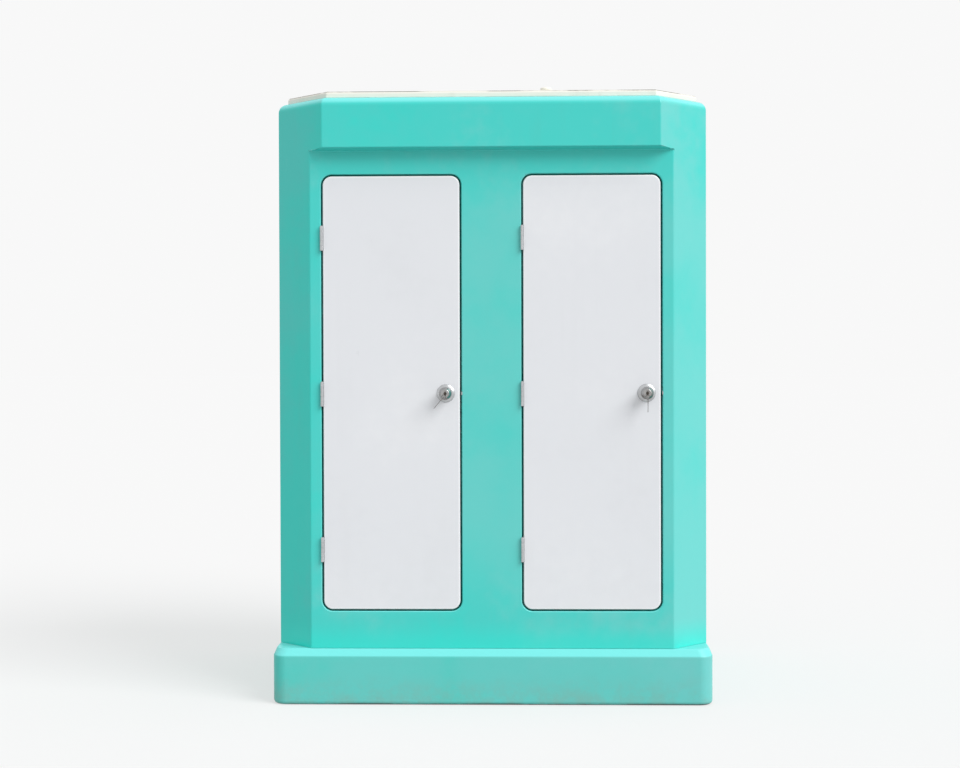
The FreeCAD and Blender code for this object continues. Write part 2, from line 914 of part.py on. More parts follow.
def lid_ears():
    """Two ears behind the fill neck that carry the lid's pin."""
    ears = []
    reach = lid_axis_y - neck_y - neck_radius + neck_wall
    neck = rod(neck_radius, (neck_x, neck_y, total_height), AXIS_Z, neck_top - total_height)
    for sign in SIDES.values():
        middle = neck_x + sign * (lid_tongue_width / 2 + loose_clearance + lid_ear_width / 2)
        start = middle - lid_ear_width / 2
        foot = total_height + lid_ear_foot_gap
        arm = block(start, start + lid_ear_width, lid_axis_y - reach, lid_axis_y, foot,
                    neck_top - lid_skirt_drop - lid_ear_arm_gap)
        post = block(start, start + lid_ear_width, lid_axis_y - lid_boss_radius,
                     lid_axis_y + lid_boss_radius, foot, lid_axis_z)
        eye = rod(lid_boss_radius, (start, lid_axis_y, lid_axis_z), AXIS_X, lid_ear_width)
        pin = rod(lid_pin_radius, (start - over, lid_axis_y, lid_axis_z), AXIS_X, lid_ear_width + 2 * over)
        ears.append(join([arm, post, eye]).cut([pin, neck]))
    return ears


def lid_hinge_pin():
    length = lid_tongue_width + 2 * loose_clearance + 2 * lid_ear_width
    start = (neck_x - length / 2, lid_axis_y, lid_axis_z)
    return rod(lid_pin_radius, start, AXIS_X, length)


def tank_lid():
    """A domed lid with a skirt round the fill neck, a hand knob and a hinge tongue."""
    under = neck_top + seat_gap
    inner_radius = neck_radius + lid_skirt_gap
    radius = inner_radius + lid_wall
    rim = under + lid_plate
    profile = [(0, under), (inner_radius, under), (inner_radius, neck_top - lid_skirt_drop),
               (radius, neck_top - lid_skirt_drop), (radius, rim - lid_edge), (radius - lid_edge, rim),
               (lid_dome_radius, rim + lid_dome_shoulder), (0, rim + lid_dome)]
    plate = spun(profile, (neck_x, neck_y, 0), AXIS_Z)
    foot = rim + lid_dome - lid_knob_sink
    top = rim + lid_dome + lid_knob_height
    disc = top - lid_knob_disc
    knob = [(0, foot), (lid_knob_foot_radius, foot), (lid_knob_waist_radius, disc - lid_knob_edge),
            (lid_knob_radius, disc), (lid_knob_radius, top - lid_knob_edge),
            (lid_knob_radius - lid_knob_edge, top), (0, top)]
    grip = spun(knob, (neck_x, neck_y, 0), AXIS_Z)
    half = lid_tongue_width / 2
    start = neck_y + radius - lid_tongue_lap
    arm = block(neck_x - half, neck_x + half, start, lid_axis_y, under,
                lid_axis_z + lid_boss_radius - lid_tongue_drop)
    eye = rod(lid_boss_radius, (neck_x - half, lid_axis_y, lid_axis_z), AXIS_X, lid_tongue_width)
    pin = rod(lid_pin_radius + running_clearance, (neck_x - half - over, lid_axis_y, lid_axis_z), AXIS_X,
              lid_tongue_width + 2 * over)
    return join([plate, grip, arm, eye]).cut(pin)


def vent_pipe():
    """The tank's vent stack and its rain cowl."""
    bottom = waste_tank_top - vent_tank_lap
    top = total_height + vent_rise
    stack = tube(vent_radius, vent_wall, (vent_x, vent_y, bottom), AXIS_Z, top - bottom)
    slots = []
    reach = vent_radius + over
    half = vent_slot_width / 2
    for angle in (0, 60, 120):
        slot = block(-reach, reach, -half, half, top - vent_slot_drop - vent_slot_height,
                     top - vent_slot_drop)
        slot.rotate(Vector(0, 0, 0), AXIS_Z, angle)
        slot.translate(Vector(vent_x, vent_y, 0))
        slots.append(slot)
    skirt = top - cowl_skirt_bottom
    profile = [(0, top), (vent_radius, top), (vent_radius + cowl_seat, top - cowl_seat / 2),
               (cowl_radius - cowl_skirt_wall, skirt), (cowl_radius, skirt),
               (cowl_radius, skirt + cowl_skirt_height), (cowl_shoulder_radius, top + cowl_shoulder),
               (cowl_crown_radius, top + cowl_crown), (0, top + cowl_peak)]
    return [stack.cut(slots), spun(profile, (vent_x, vent_y, 0), AXIS_Z)]


# Doors


def door_frame(side):
    """The frame's head, sill and posts, with the strike box between two lengths of post, and its stop."""
    middle = door_middle(side)
    outer = front_panel(middle, opening_width + 2 * frame_width, opening_bottom - frame_width,
                        opening_height + 2 * frame_width, opening_radius + frame_width, inner_front,
                        frame_back)
    way = front_panel(middle, opening_width, opening_bottom, opening_height, opening_radius,
                      inner_front - over, frame_back + over)
    mouth = front_panel(middle, opening_width - 2 * frame_stop, opening_bottom + frame_stop,
                        opening_height - 2 * frame_stop, opening_radius - frame_stop, inner_front,
                        frame_back + over)
    jamb = middle + opening_width / 2
    pocket = block(jamb - over, jamb + latch_travel + pocket_spare, latch_y - pocket_width / 2,
                   latch_y + pocket_width / 2, lock_level - pocket_height / 2, lock_level + pocket_height / 2)
    recess = block(jamb - over, jamb + strike_thickness, inner_front - over, latch_y + strike_behind,
                   lock_level - strike_height / 2, lock_level + strike_height / 2)
    frame = outer.cut([way, pocket, recess])
    stop = outer.cut(mouth)
    low = opening_bottom + opening_radius
    high = opening_bottom + opening_height - opening_radius
    box_low = lock_level - strike_box_height / 2
    box_high = lock_level + strike_box_height / 2
    left, right = middle - opening_width, middle + opening_width
    foot, top = opening_bottom - opening_width, opening_bottom + opening_height + opening_width
    rails = [(left, right, foot, low), (left, right, high, top), (left, middle, low, high)]
    strike_post = [(middle, right, low, box_low), (middle, right, box_low, box_high),
                   (middle, right, box_high, high)]
    pieces = [frame.common(block(x0, x1, inner_front, stop_front, z0, z1))
              for x0, x1, z0, z1 in rails + strike_post]
    pieces += [stop.common(block(x0, x1, stop_front, frame_back, z0, z1))
               for x0, x1, z0, z1 in rails + [(middle, right, low, high)]]
    return pieces


def door_seal(side):
    middle = door_middle(side)
    edge = seal_inset
    outer = front_panel(middle, opening_width - 2 * edge, opening_bottom + edge, opening_height - 2 * edge,
                        opening_radius - edge, seal_front, stop_front)
    edge += seal_width
    inner = front_panel(middle, opening_width - 2 * edge, opening_bottom + edge, opening_height - 2 * edge,
                        opening_radius - edge, seal_front - over, stop_front + over)
    return outer.cut(inner)


def strike_plate(side):
    """The plate in the jamb with its hole for the bolt, and the lip in front of the wall."""
    jamb = door_middle(side) + opening_width / 2
    half = strike_height / 2
    lip_half = half * strike_lip_share
    plate = block(jamb, jamb + strike_thickness, inner_front, latch_y + strike_behind, lock_level - half,
                  lock_level + half)
    hole = block(jamb - over, jamb + strike_thickness + over, latch_y - strike_hole_width / 2,
                 latch_y + strike_hole_width / 2, lock_level - strike_hole_height / 2,
                 lock_level + strike_hole_height / 2)
    tab = block(jamb - strike_thickness, jamb, wall_front - strike_thickness, latch_y - strike_before,
                lock_level - lip_half, lock_level + lip_half)
    lip = block(jamb - strike_thickness, jamb + strike_lip, wall_front - strike_thickness, wall_front,
                lock_level - lip_half, lock_level + lip_half)
    return join([plate, tab, lip]).cut(hole)


def hinge_leaf(side, level, turn):
    """One leaf of a butt hinge: turn 0 is the frame's, turn 1 the door's."""
    x = hinge_axis_x(side)
    bottom = level - hinge_height / 2
    if turn:
        x0, x1 = x + door_gap / 2 - hinge_leaf_thickness, x + door_gap / 2
    else:
        x0, x1 = x - door_gap / 2, x - door_gap / 2 + hinge_leaf_thickness
    start = door_front + hinge_leaf_setback
    pieces = [block(x0, x1, start, start + hinge_leaf_depth, bottom, bottom + hinge_height)]
    step = hinge_height / hinge_knuckles
    for index in range(turn, hinge_knuckles, 2):
        z0 = bottom + index * step + (hinge_knuckle_gap / 2 if index else 0)
        z1 = bottom + (index + 1) * step
        z1 -= hinge_knuckle_gap / 2 if index < hinge_knuckles - 1 else 0
        pieces.append(rod(hinge_knuckle_radius, (x, hinge_axis_y, z0), AXIS_Z, z1 - z0))
        pieces.append(block(x0, x1, hinge_axis_y, start, z0, z1))
    bore = hinge_pin_radius + (running_clearance if turn else 0)
    hole = rod(bore, (x, hinge_axis_y, bottom - over), AXIS_Z, hinge_height + 2 * over)
    return join(pieces).cut(hole)


def hinge_pin(side, level):
    x = hinge_axis_x(side)
    bottom = level - hinge_height / 2
    shaft = rod(hinge_pin_radius, (x, hinge_axis_y, bottom), AXIS_Z, hinge_height)
    head = rod(hinge_pin_head, (x, hinge_axis_y, bottom + hinge_height), AXIS_Z, hinge_pin_head_height)
    return join([shaft, head])


def door_leaf(side):
    middle = door_middle(side)
    leaf = front_panel(middle, door_width, door_bottom, door_height, door_corner_radius, door_front,
                       door_back)
    edge = middle + door_width / 2
    x = knob_x(side)
    bore = rod(lock_bore_radius, (x, door_front - over, lock_level), AXIS_Y, door_thickness + 2 * over)
    latch = rod(latch_tube_radius + bore_clearance, (x, latch_y, lock_level), AXIS_X, lock_backset + over)
    half = latch_plate_height / 2
    plate = block(edge - latch_plate_thickness, edge + over, latch_y - latch_plate_width / 2,
                  latch_y + latch_plate_width / 2, lock_level - half, lock_level + half)
    edges = [e for e in leaf.Edges if all(abs(v.Y - door_front) < same_level for v in e.Vertexes)]
    return leaf.makeFillet(door_edge_round, edges).cut([bore, latch, plate])


# Locks


def lock_body(side):
    """The chassis with a rose on each face, and the latch tube with its edge plate."""
    x = knob_x(side)
    y = latch_y
    centre = (x, door_front, lock_level)
    profile = [(0, -rose_thickness), (rose_face_radius, -rose_thickness), (rose_crown_radius, -rose_crown),
               (rose_radius - 1, -rose_edge), (rose_radius, 0), (0, 0)]
    outer = spun(profile, centre, AXIS_Y)
    inner = spun([(r, -d) for r, d in profile], (x, door_back, lock_level), AXIS_Y)
    chassis = rod(chassis_radius, centre, AXIS_Y, door_thickness)
    hollow = rod(chassis_radius - chassis_wall, (x, door_front + chassis_wall, lock_level), AXIS_Y,
                 door_thickness - 2 * chassis_wall)
    shank = rod(knob_shank_radius + running_clearance, (x, door_front - 2 * rose_thickness, lock_level),
                AXIS_Y, door_thickness + 4 * rose_thickness)
    side_hole = rod(latch_bolt_radius + bore_clearance, (x, y, lock_level), AXIS_X, lock_backset)
    body = join([outer, inner, chassis]).cut([hollow, shank, side_hole])
    start = x + chassis_radius
    edge = door_middle(side) + door_width / 2
    sleeve = rod(latch_tube_radius, (start + 1, y, lock_level), AXIS_X, edge - start - 1)
    half = latch_plate_height / 2 - loose_clearance
    half_y = latch_plate_width / 2 - loose_clearance
    plate = block(edge - latch_plate_thickness, edge, y - half_y, y + half_y, lock_level - half,
                  lock_level + half)
    bore = rod(latch_bolt_radius + bore_clearance, (start, y, lock_level), AXIS_X, lock_backset)
    saddle = rod(chassis_radius + bore_clearance, (x, y - door_thickness, lock_level), AXIS_Y,
                 2 * door_thickness)
    return [body, join([sleeve, plate]).cut([bore, saddle])]


def latch_bolt(side):
    """The bolt, drawn back at rest, with its sloped nose."""
    x = knob_x(side)
    edge = door_middle(side) + door_width / 2
    start = x + knob_shank_radius + chassis_wall
    tip = edge - latch_setback
    bolt = rod(latch_bolt_radius, (start, latch_y, lock_level), AXIS_X, tip - start)
    back = latch_y + latch_bolt_radius + over
    corners = [(tip + over, latch_y - latch_bolt_radius * latch_nose_start), (tip + over, back),
               (tip - latch_bolt_radius * latch_nose_length, back)]
    level = lock_level - latch_bolt_radius - over
    nose = Part.Face(Part.makePolygon([Vector(x, y, level) for x, y in corners + corners[:1]]))
    return bolt.cut(nose.extrude(Vector(0, 0, 2 * (latch_bolt_radius + over))))


def knob_profile():
    """The knob seen from the side, as radius and reach: shank, waist, ball and flat face."""
    return [(0, 0), (knob_shank_radius, 0), (knob_shank_radius, knob_shank_length),
            (knob_waist_radius, knob_neck), (knob_swell_radius, knob_swell), (knob_radius, knob_widest),
            (knob_fall_radius, knob_fall), (knob_brow_radius, knob_brow), (knob_rim_radius, knob_rim),
            (knob_face_radius, knob_length), (0, knob_length)]


def outer_knob(side):
    x = knob_x(side)
    knob = spun([(r, -d) for r, d in knob_profile()], (x, door_front, lock_level), AXIS_Y)
    plug = rod(plug_radius + running_clearance, (x, door_front - knob_length - over, lock_level), AXIS_Y,
               plug_length + over)
    return smooth(knob).cut(plug)


def smooth(knob):
    """The knob with the creases of its ball rounded."""
    ball = [e for e in knob.Edges if e.Closed and e.Curve.Radius > knob_rim_radius + over]
    return knob.makeFillet(knob_round, ball)


def inner_knob(side):
    x = knob_x(side)
    knob = smooth(spun(knob_profile(), (x, door_back, lock_level), AXIS_Y))
    half = spindle_side / 2
    spindle = block(x - half, x + half, door_front, door_back + over, lock_level - half, lock_level + half)
    deep = button_depth + pipe_clearance
    button = rod(button_radius + running_clearance, (x, door_back + knob_length - deep, lock_level), AXIS_Y,
                 deep + over)
    return knob.fuse(spindle).removeSplitter().cut(button)


def turn_button(side):
    x = knob_x(side)
    face = door_back + knob_length
    stem = rod(button_radius, (x, face - button_depth, lock_level), AXIS_Y, button_depth + 2 * button_stand)
    half_x, half_z = button_grip_thickness / 2, button_grip_height / 2
    grip = block(x - half_x, x + half_x, face + button_stand, face + button_stand + button_grip_length,
                 lock_level - half_z, lock_level + half_z)
    edges = [e for e in grip.Edges if e.BoundBox.XLength > button_grip_thickness / 2]
    return join([stem, grip.makeFillet(half_x, edges)])


def key_shape(x, y, level, blade_length):
    """A flat key with its bow and blade, seen edge-on from the front; the blade runs towards +Y."""
    half = key_thickness / 2
    bow = rod(key_bow_radius, (x - half, y, level), AXIS_X, key_thickness)
    shoulder = y + key_bow_radius + key_neck_length - key_bow_overlap
    neck = block(x - half, x + half, y, shoulder, level - key_neck_width / 2, level + key_neck_width / 2)
    blade = block(x - half, x + half, y, shoulder + blade_length, level - key_blade_width / 2,
                  level + key_blade_width / 2)
    return join([bow, neck, blade])


def key(side):
    """The lock's plug and the key in it."""
    x = knob_x(side)
    face = door_front - knob_length
    plug = rod(plug_radius, (x, face - plug_proud, lock_level), AXIS_Y, plug_length)
    half_x = key_thickness / 2 + key_slot_play
    half_z = key_blade_width / 2 + key_slot_play
    slot = block(x - half_x, x + half_x, face - over, face + key_blade_length + plug_proud,
                 lock_level - half_z, lock_level + half_z)
    bow_y = face - key_bow_reach
    blank = key_shape(x, bow_y, lock_level, key_blade_length)
    hole = rod(key_hole_radius, (x - key_thickness, key_hole_y, key_hole_z), AXIS_X, 2 * key_thickness)
    blank = blank.cut(hole)
    rims = [e for e in blank.Edges if e.Closed and e.Curve.Radius == key_hole_radius]
    return [plug.cut(slot), blank.makeChamfer(key_hole_bevel, rims)]


def ring_pivot(side):
    """Where the ring's wire passes through the bow's hole, a little above the hole's lower edge."""
    level = key_hole_z - key_hole_radius + key_ring_wire + key_ring_play
    return Vector(knob_x(side), key_hole_y, level)


def spare_key(side):
    """The key ring that hangs in the bow's hole, and the second key on it."""
    pivot = ring_pivot(side)
    x, y = pivot.x, pivot.y
    centre = Vector(x, y, pivot.z - key_ring_radius)
    ring = Part.makeTorus(key_ring_radius, key_ring_wire, centre, AXIS_Y)
    low = centre.z - key_ring_radius
    hole_z = low + key_ring_wire + loose_clearance - spare_key_hole_radius
    bow_z = hole_z + spare_key_hole_radius + key_hole_edge - key_bow_radius
    half = key_thickness / 2
    bow = rod(key_bow_radius, (x - half, y, bow_z), AXIS_X, key_thickness)
    blade = block(x - half, x + half, y - key_blade_width / 2, y + key_blade_width / 2,
                  bow_z - spare_key_length, bow_z)
    hole = rod(spare_key_hole_radius, (x - key_thickness, y, hole_z), AXIS_X, 2 * key_thickness)
    solids = [ring, join([bow, blade]).cut(hole)]
    for solid in solids:
        solid.rotate(pivot, AXIS_Y, spare_key_tilt[side])
    return solids


# Toilets


def rounded_plan(width, front, back, level, front_share=bowl_front_share, back_radius=bowl_back_corner):
    """A plan outline with a nearly round front, for one level of the bowl."""
    half = width / 2
    return plan_wire(rectangle(toilet_x - half, toilet_x + half, front, back),
                     [half * front_share, half * front_share, back_radius, back_radius], level)


def toilet_bowl():
    base = floor_level
    rim = rim_level
    sections = [
        rounded_plan(bowl_foot_width, bowl_front + bowl_foot_front, bowl_back - bowl_foot_back, base),
        rounded_plan(bowl_waist_width, bowl_front + bowl_waist_front, bowl_back - bowl_waist_back,
                     base + bowl_waist_level),
        rounded_plan(bowl_belly_width, bowl_front + bowl_belly_front, bowl_back - bowl_belly_back,
                     base + bowl_belly_level),
        rounded_plan(bowl_shoulder_width, bowl_front + bowl_shoulder_front, bowl_back,
                     rim - bowl_shoulder_drop),
        rounded_plan(bowl_width, bowl_front, bowl_back, rim - bowl_rim_height),
    ]
    body = Part.makeLoft(sections, True, False)
    top = Part.makeLoft([rounded_plan(bowl_width, bowl_front, bowl_back, rim - bowl_rim_height),
                         rounded_plan(bowl_width, bowl_front, bowl_back, rim)], True, True)
    front = bowl_front + bowl_rim
    back = bowl_rim_back
    hollow = Part.makeLoft([
        rounded_plan(2 * outlet_radius, outlet_y - outlet_radius, outlet_y + outlet_radius,
                     base + hollow_floor_level, outlet_share, outlet_radius * outlet_share),
        rounded_plan(hollow_low_width, front + hollow_low_front, back - hollow_low_back,
                     base + hollow_low_level, bowl_front_share, hollow_low_corner),
        rounded_plan(hollow_high_width, front + hollow_high_front, back - hollow_high_back,
                     rim - hollow_high_drop, bowl_front_share, hollow_corner),
        rounded_plan(bowl_width - 2 * bowl_rim, front, back, rim + over, bowl_front_share, hollow_corner),
    ], True, False)
    spigot = rod(outlet_radius + outlet_wall, (toilet_x, outlet_y, floor_level - outlet_drop), AXIS_Z,
                 outlet_drop + outlet_wall)
    drop = rod(outlet_radius, (toilet_x, outlet_y, floor_level - outlet_drop - over), AXIS_Z,
               outlet_rise + outlet_drop)
    return join([body, top, spigot]).cut([hollow, drop])


def seat_posts():
    """The two posts on the bowl's rim that carry the seat's rod."""
    posts = []
    for sign in SIDES.values():
        middle = toilet_x + sign * post_x
        foot = block(middle - post_width / 2, middle + post_width / 2, seat_axis_y - seat_lug_radius,
                     seat_axis_y + seat_lug_radius, rim_level, seat_axis_z)
        eye = rod(seat_lug_radius, (middle - post_width / 2, seat_axis_y, seat_axis_z), AXIS_X, post_width)
        posts.append(join([foot, eye]).cut(seat_rod_hole(0)))
    return posts


def seat_rod_hole(clearance):
    reach = seat_lug_x + seat_lug_width
    return rod(seat_rod_radius + clearance, (toilet_x - reach, seat_axis_y, seat_axis_z), AXIS_X, 2 * reach)


def seat_rod():
    reach = seat_lug_x + seat_lug_width / 2
    return rod(seat_rod_radius, (toilet_x - reach, seat_axis_y, seat_axis_z), AXIS_X, 2 * reach)


def lugs(offset, plate, y0, z0, z1):
    """The two hinge arms that are fixed to a seat's or a lid's back edge."""
    arms = []
    for sign in SIDES.values():
        start = toilet_x + sign * offset - seat_lug_width / 2
        eye = rod(seat_lug_radius, (start, seat_axis_y, seat_axis_z), AXIS_X, seat_lug_width)
        bar = block(start, start + seat_lug_width, y0, seat_axis_y, z0, z1)
        arms.append(join([eye, bar]).cut([plate, seat_rod_hole(running_clearance)]))
    return arms


def toilet_seat():
    bottom = rim_level + seat_gap
    top = bottom + seat_thickness
    front = bowl_front - seat_overhang
    width = bowl_width + 2 * seat_side_overhang
    ring = Part.Face(rounded_plan(width, front, seat_back, bottom, bowl_front_share, seat_back_corner))
    ring = ring.extrude(Vector(0, 0, seat_thickness))
    hole = Part.Face(rounded_plan(width - 2 * seat_rim, front + seat_rim, seat_back - seat_rear_rim,
                                  bottom - over, seat_hole_share, seat_hole_corner))
    ring = ring.cut(hole.extrude(Vector(0, 0, seat_thickness + 2 * over)))
    ring = ring.makeFillet(seat_round, edges_at(ring, top))
    return [ring] + lugs(seat_lug_x, ring, seat_back - seat_lug_lap, seat_axis_z - seat_lug_foot,
                         top - seat_gap)


def toilet_lid():
    """The lid, built closed and then turned up until it leans on the cistern."""
    bottom = rim_level + 2 * seat_gap + seat_thickness
    front = bowl_front - seat_overhang
    top = bottom + lid_thickness
    plate = Part.Face(rounded_plan(bowl_width + 2 * lid_side_overhang, front, seat_back + lid_back_overhang,
                                   bottom, bowl_front_share, seat_back_corner))
    plate = plate.extrude(Vector(0, 0, lid_thickness))
    plate = plate.makeFillet(lid_round, edges_at(plate, top))
    solids = [plate] + lugs(lid_lug_x, plate, seat_back + lid_back_overhang - lid_lug_lap, seat_axis_z,
                            top - lid_lug_drop)
    for solid in solids:
        solid.rotate(Vector(toilet_x, seat_axis_y, seat_axis_z), AXIS_X, -lid_open_angle)
    return solids


def cistern():
    half = cistern_width / 2
    wall = cistern_wall
    outer = plan_solid(rectangle(toilet_x - half, toilet_x + half, cistern_front, cistern_back),
                       [cistern_corner] * 4, rim_level, cistern_top)
    inner = plan_solid(rectangle(toilet_x - half + wall, toilet_x + half - wall, cistern_front + wall,
                                 cistern_back - wall),
                       [cistern_corner - wall] * 4, rim_level + wall, cistern_top + over)
    inlet = rod(supply_radius, (toilet_x + half - 2 * wall, cistern_middle, supply_level), AXIS_X, 3 * wall)
    return outer.cut([inner, inlet])


def cistern_lid():
    half = cistern_width / 2 + cistern_lid_overhang
    top = cistern_top + cistern_lid_height
    lid = plan_solid(rectangle(toilet_x - half, toilet_x + half, cistern_front - cistern_lid_overhang,
                               cistern_back + cistern_lid_overhang),
                     [cistern_corner + cistern_lid_overhang] * 4, cistern_top, top)
    lid = lid.makeFillet(cistern_lid_round, edges_at(lid, top))
    centre = (toilet_x, cistern_middle)
    hole = rod(flush_button_radius + loose_clearance, centre + (cistern_top,), AXIS_Z,
               cistern_lid_height + over)
    pocket = rod(flush_pocket_radius, centre + (cistern_top - over,), AXIS_Z, flush_pocket_depth + over)
    return lid.cut([hole, pocket])


def flush_button():
    centre = (toilet_x, cistern_middle)
    top = cistern_top + cistern_lid_height + flush_button_proud
    collar_top = cistern_top + flush_pocket_depth - loose_clearance
    cap = rod(flush_button_radius, centre + (collar_top,), AXIS_Z, top - collar_top)
    cap = cap.makeFillet(flush_button_round, edges_at(cap, top))
    collar = rod(flush_collar_radius, centre + (collar_top - flush_collar_height,), AXIS_Z,
                 flush_collar_height)
    return join([cap, collar])


# Basins and pipes


def basin():
    x0 = inner_x - basin_projection
    y0 = basin_y - basin_length / 2
    y1 = basin_y + basin_length / 2
    corner = basin_corner
    foot_level = basin_level - basin_depth

    def wire(inset, level, radius):
        return plan_wire(rectangle(x0 + inset, inner_x, y0 + inset, y1 - inset),
                         [radius, basin_wall_corner, basin_wall_corner, radius], level)

    rim_foot = basin_level - basin_rim_height
    rim = Part.makeLoft([wire(0, rim_foot, corner), wire(0, basin_level, corner)], True, True)
    under = Part.makeLoft([wire(basin_foot_inset, foot_level, corner / 2), wire(0, rim_foot, corner)],
                          True, True)
    mid = basin_mid_x

    def hollow_wire(half_x, half_y, level, radius):
        return plan_wire(rectangle(mid - half_x, mid + half_x, basin_y - half_y, basin_y + half_y),
                         [radius] * 4, level)

    half_x = mid - x0 - basin_rim
    half_y = basin_length / 2 - basin_rim
    deep = basin_level - basin_bowl_depth
    hollow = Part.makeLoft([
        hollow_wire(half_x - hollow_foot_x, half_y - hollow_foot_y, deep, hollow_foot_corner),
        hollow_wire(half_x - hollow_waist_x, half_y - hollow_waist_y, deep + hollow_waist_rise,
                    hollow_waist_corner),
        hollow_wire(half_x, half_y, basin_level + over, hollow_rim_corner),
    ], True, False)
    drain = rod(basin_drain_radius, (mid, basin_y, foot_level - over), AXIS_Z, basin_depth)
    tap_hole = rod(tap_tail_radius + loose_clearance, (tap_x, basin_y, foot_level - over), AXIS_Z,
                   basin_depth + 2 * over)
    return join([rim, under]).cut([hollow, drain, tap_hole])


def tap_body():
    base = rod(tap_base_radius, (tap_x, basin_y, basin_level), AXIS_Z, tap_base_height)
    pillar = rod(tap_radius, (tap_x, basin_y, basin_level), AXIS_Z, tap_height)
    spout_z = tap_top - tap_spout_drop
    end = (tap_x - tap_spout_length, basin_y, spout_z)
    spout = run_of_pipe(tap_spout_radius, [(tap_x, basin_y, spout_z), end])
    mouth = spout_z - tap_nozzle_length
    nozzle = rod(tap_spout_radius, (end[0], basin_y, mouth), AXIS_Z, tap_nozzle_length)
    tail = rod(tap_tail_radius, (tap_x, basin_y, basin_level - tap_tail_length), AXIS_Z, tap_tail_length)
    bore = rod(tap_spout_radius - tap_nozzle_wall, (end[0], basin_y, mouth - over), AXIS_Z, tap_nozzle_length)
    return join([base, pillar, spout, nozzle, tail]).cut(bore)


def tap_lever():
    bottom = tap_top + seat_gap
    top = bottom + tap_lever_height
    hub = rod(tap_radius, (tap_x, basin_y, bottom), AXIS_Z, tap_lever_height)
    hub = hub.makeFillet(tap_hub_round, edges_at(hub, top))
    half = tap_lever_width / 2
    tip = tap_x - tap_lever_length
    bar = block(tip, tap_x, basin_y - half, basin_y + half, bottom + tap_lever_inset, top - tap_lever_inset)
    bar = bar.makeFillet(tap_lever_inset, [e for e in bar.Edges if e.BoundBox.XMax < tip + over])
    return join([hub, bar])


def drain_pipe():
    """The basin's waste: tail pipe, bottle trap and the pipe down into the tank."""
    bottom = waste_tank_top - tank_wall
    top = basin_level - basin_depth
    pipe = rod(drain_pipe_radius, (basin_mid_x, basin_y, bottom), AXIS_Z, top - bottom)
    cup = rod(drain_cup_radius, (basin_mid_x, basin_y, drain_cup_level), AXIS_Z, drain_cup_height)
    nut = rod(drain_nut_radius, (basin_mid_x, basin_y, top - drain_nut_height), AXIS_Z, drain_nut_height)
    bore = rod(drain_pipe_radius - drain_pipe_wall, (basin_mid_x, basin_y, bottom - over), AXIS_Z,
               top - bottom + 2 * over)
    return join([pipe, cup, nut]).cut(bore)


def supply_pipe():
    """From the roof tank down to the cistern and along the side wall to the tap."""
    top = (supply_x, supply_y, water_tank_bottom + water_tank_wall)
    tee = (supply_x, supply_y, supply_level)
    corner = (supply_x, cistern_middle, supply_level)
    cistern_end = (toilet_x + cistern_width / 2 - cistern_wall, cistern_middle, supply_level)
    wall_corner = (tap_x, supply_y, supply_level)
    tap_corner = (tap_x, basin_y, supply_level)
    tap_end = (tap_x, basin_y, basin_level - tap_tail_length)
    runs = [(top, tee), (tee, corner), (corner, cistern_end), (tee, wall_corner),
            (wall_corner, tap_corner), (tap_corner, tap_end)]
    pieces = []
    for start, end in runs:
        step = Vector(*end) - Vector(*start)
        pieces.append(rod(supply_radius, start, step, step.Length))
    for place in (tee, corner, wall_corner, tap_corner):
        pieces.append(Part.makeSphere(supply_elbow, Vector(*place)))
    return join(pieces)


def inlet_pipe():
    """The fill pipe from the roof tank through the rear wall, with its collar outside."""
    start = water_tank_rear - water_tank_wall
    pipe = tube(inlet_radius, inlet_wall, (inlet_x, start, inlet_level), AXIS_Y,
                wall_back + inlet_proud - start)
    collar = tube(inlet_collar_radius, inlet_collar_radius - inlet_radius + inlet_wall,
                  (inlet_x, wall_back, inlet_level), AXIS_Y, inlet_collar)
    return join([pipe, collar])


def drain_valve():
    """The tank's outlet pipe with its ball valve and the hose spigot."""
    start = wall_back - waste_tank_inset - tank_wall
    pipe = rod(outlet_pipe_radius, (0, start, outlet_level), AXIS_Y, spigot_end - start)
    body = rod(valve_body_radius, (0, valve_y - valve_body_length / 2, outlet_level), AXIS_Y,
               valve_body_length)
    edges = [e for e in body.Edges if e.Closed and e.Curve.TypeId == "Part::GeomCircle"]
    body = body.makeFillet(valve_body_round, edges)
    neck = rod(valve_neck_radius, (0, valve_y, outlet_level), AXIS_Z, valve_body_radius + valve_neck_rise)
    bore = rod(outlet_pipe_radius - outlet_pipe_wall, (0, start - over, outlet_level), AXIS_Y,
               spigot_end - start + 2 * over)
    chamber = Part.makeSphere(valve_ball_radius + loose_clearance, Vector(0, valve_y, outlet_level))
    stem = rod(valve_stem_radius + running_clearance, (0, valve_y, outlet_level), AXIS_Z,
               2 * valve_body_radius)
    return join([pipe, body, neck]).cut([bore, chamber, stem])


def valve_lever():
    """The valve's ball, stem and handle, closed at rest."""
    ball = Part.makeSphere(valve_ball_radius, Vector(0, valve_y, outlet_level))
    reach = valve_ball_radius + over
    hole = rod(valve_bore_radius, (-reach, valve_y, outlet_level), AXIS_X, 2 * reach)
    top = outlet_level + valve_body_radius + valve_stem_rise
    foot = outlet_level + valve_ball_radius - valve_stem_sink
    stem = rod(valve_stem_radius, (0, valve_y, foot), AXIS_Z, top - foot)
    half = valve_lever_width / 2
    hub = rod(valve_hub_radius, (0, valve_y, top - valve_hub_drop), AXIS_Z, valve_hub_height)
    bar = block(0, valve_lever_length, valve_y - half, valve_y + half, top - valve_lever_thickness, top)
    tip_edges = [e for e in bar.Edges if e.BoundBox.XMin > valve_lever_length - over
                 and e.BoundBox.YLength < same_level]
    bar = bar.makeFillet(half - over, tip_edges)
    return join([ball.cut(hole), stem, hub, bar])


# Small fittings


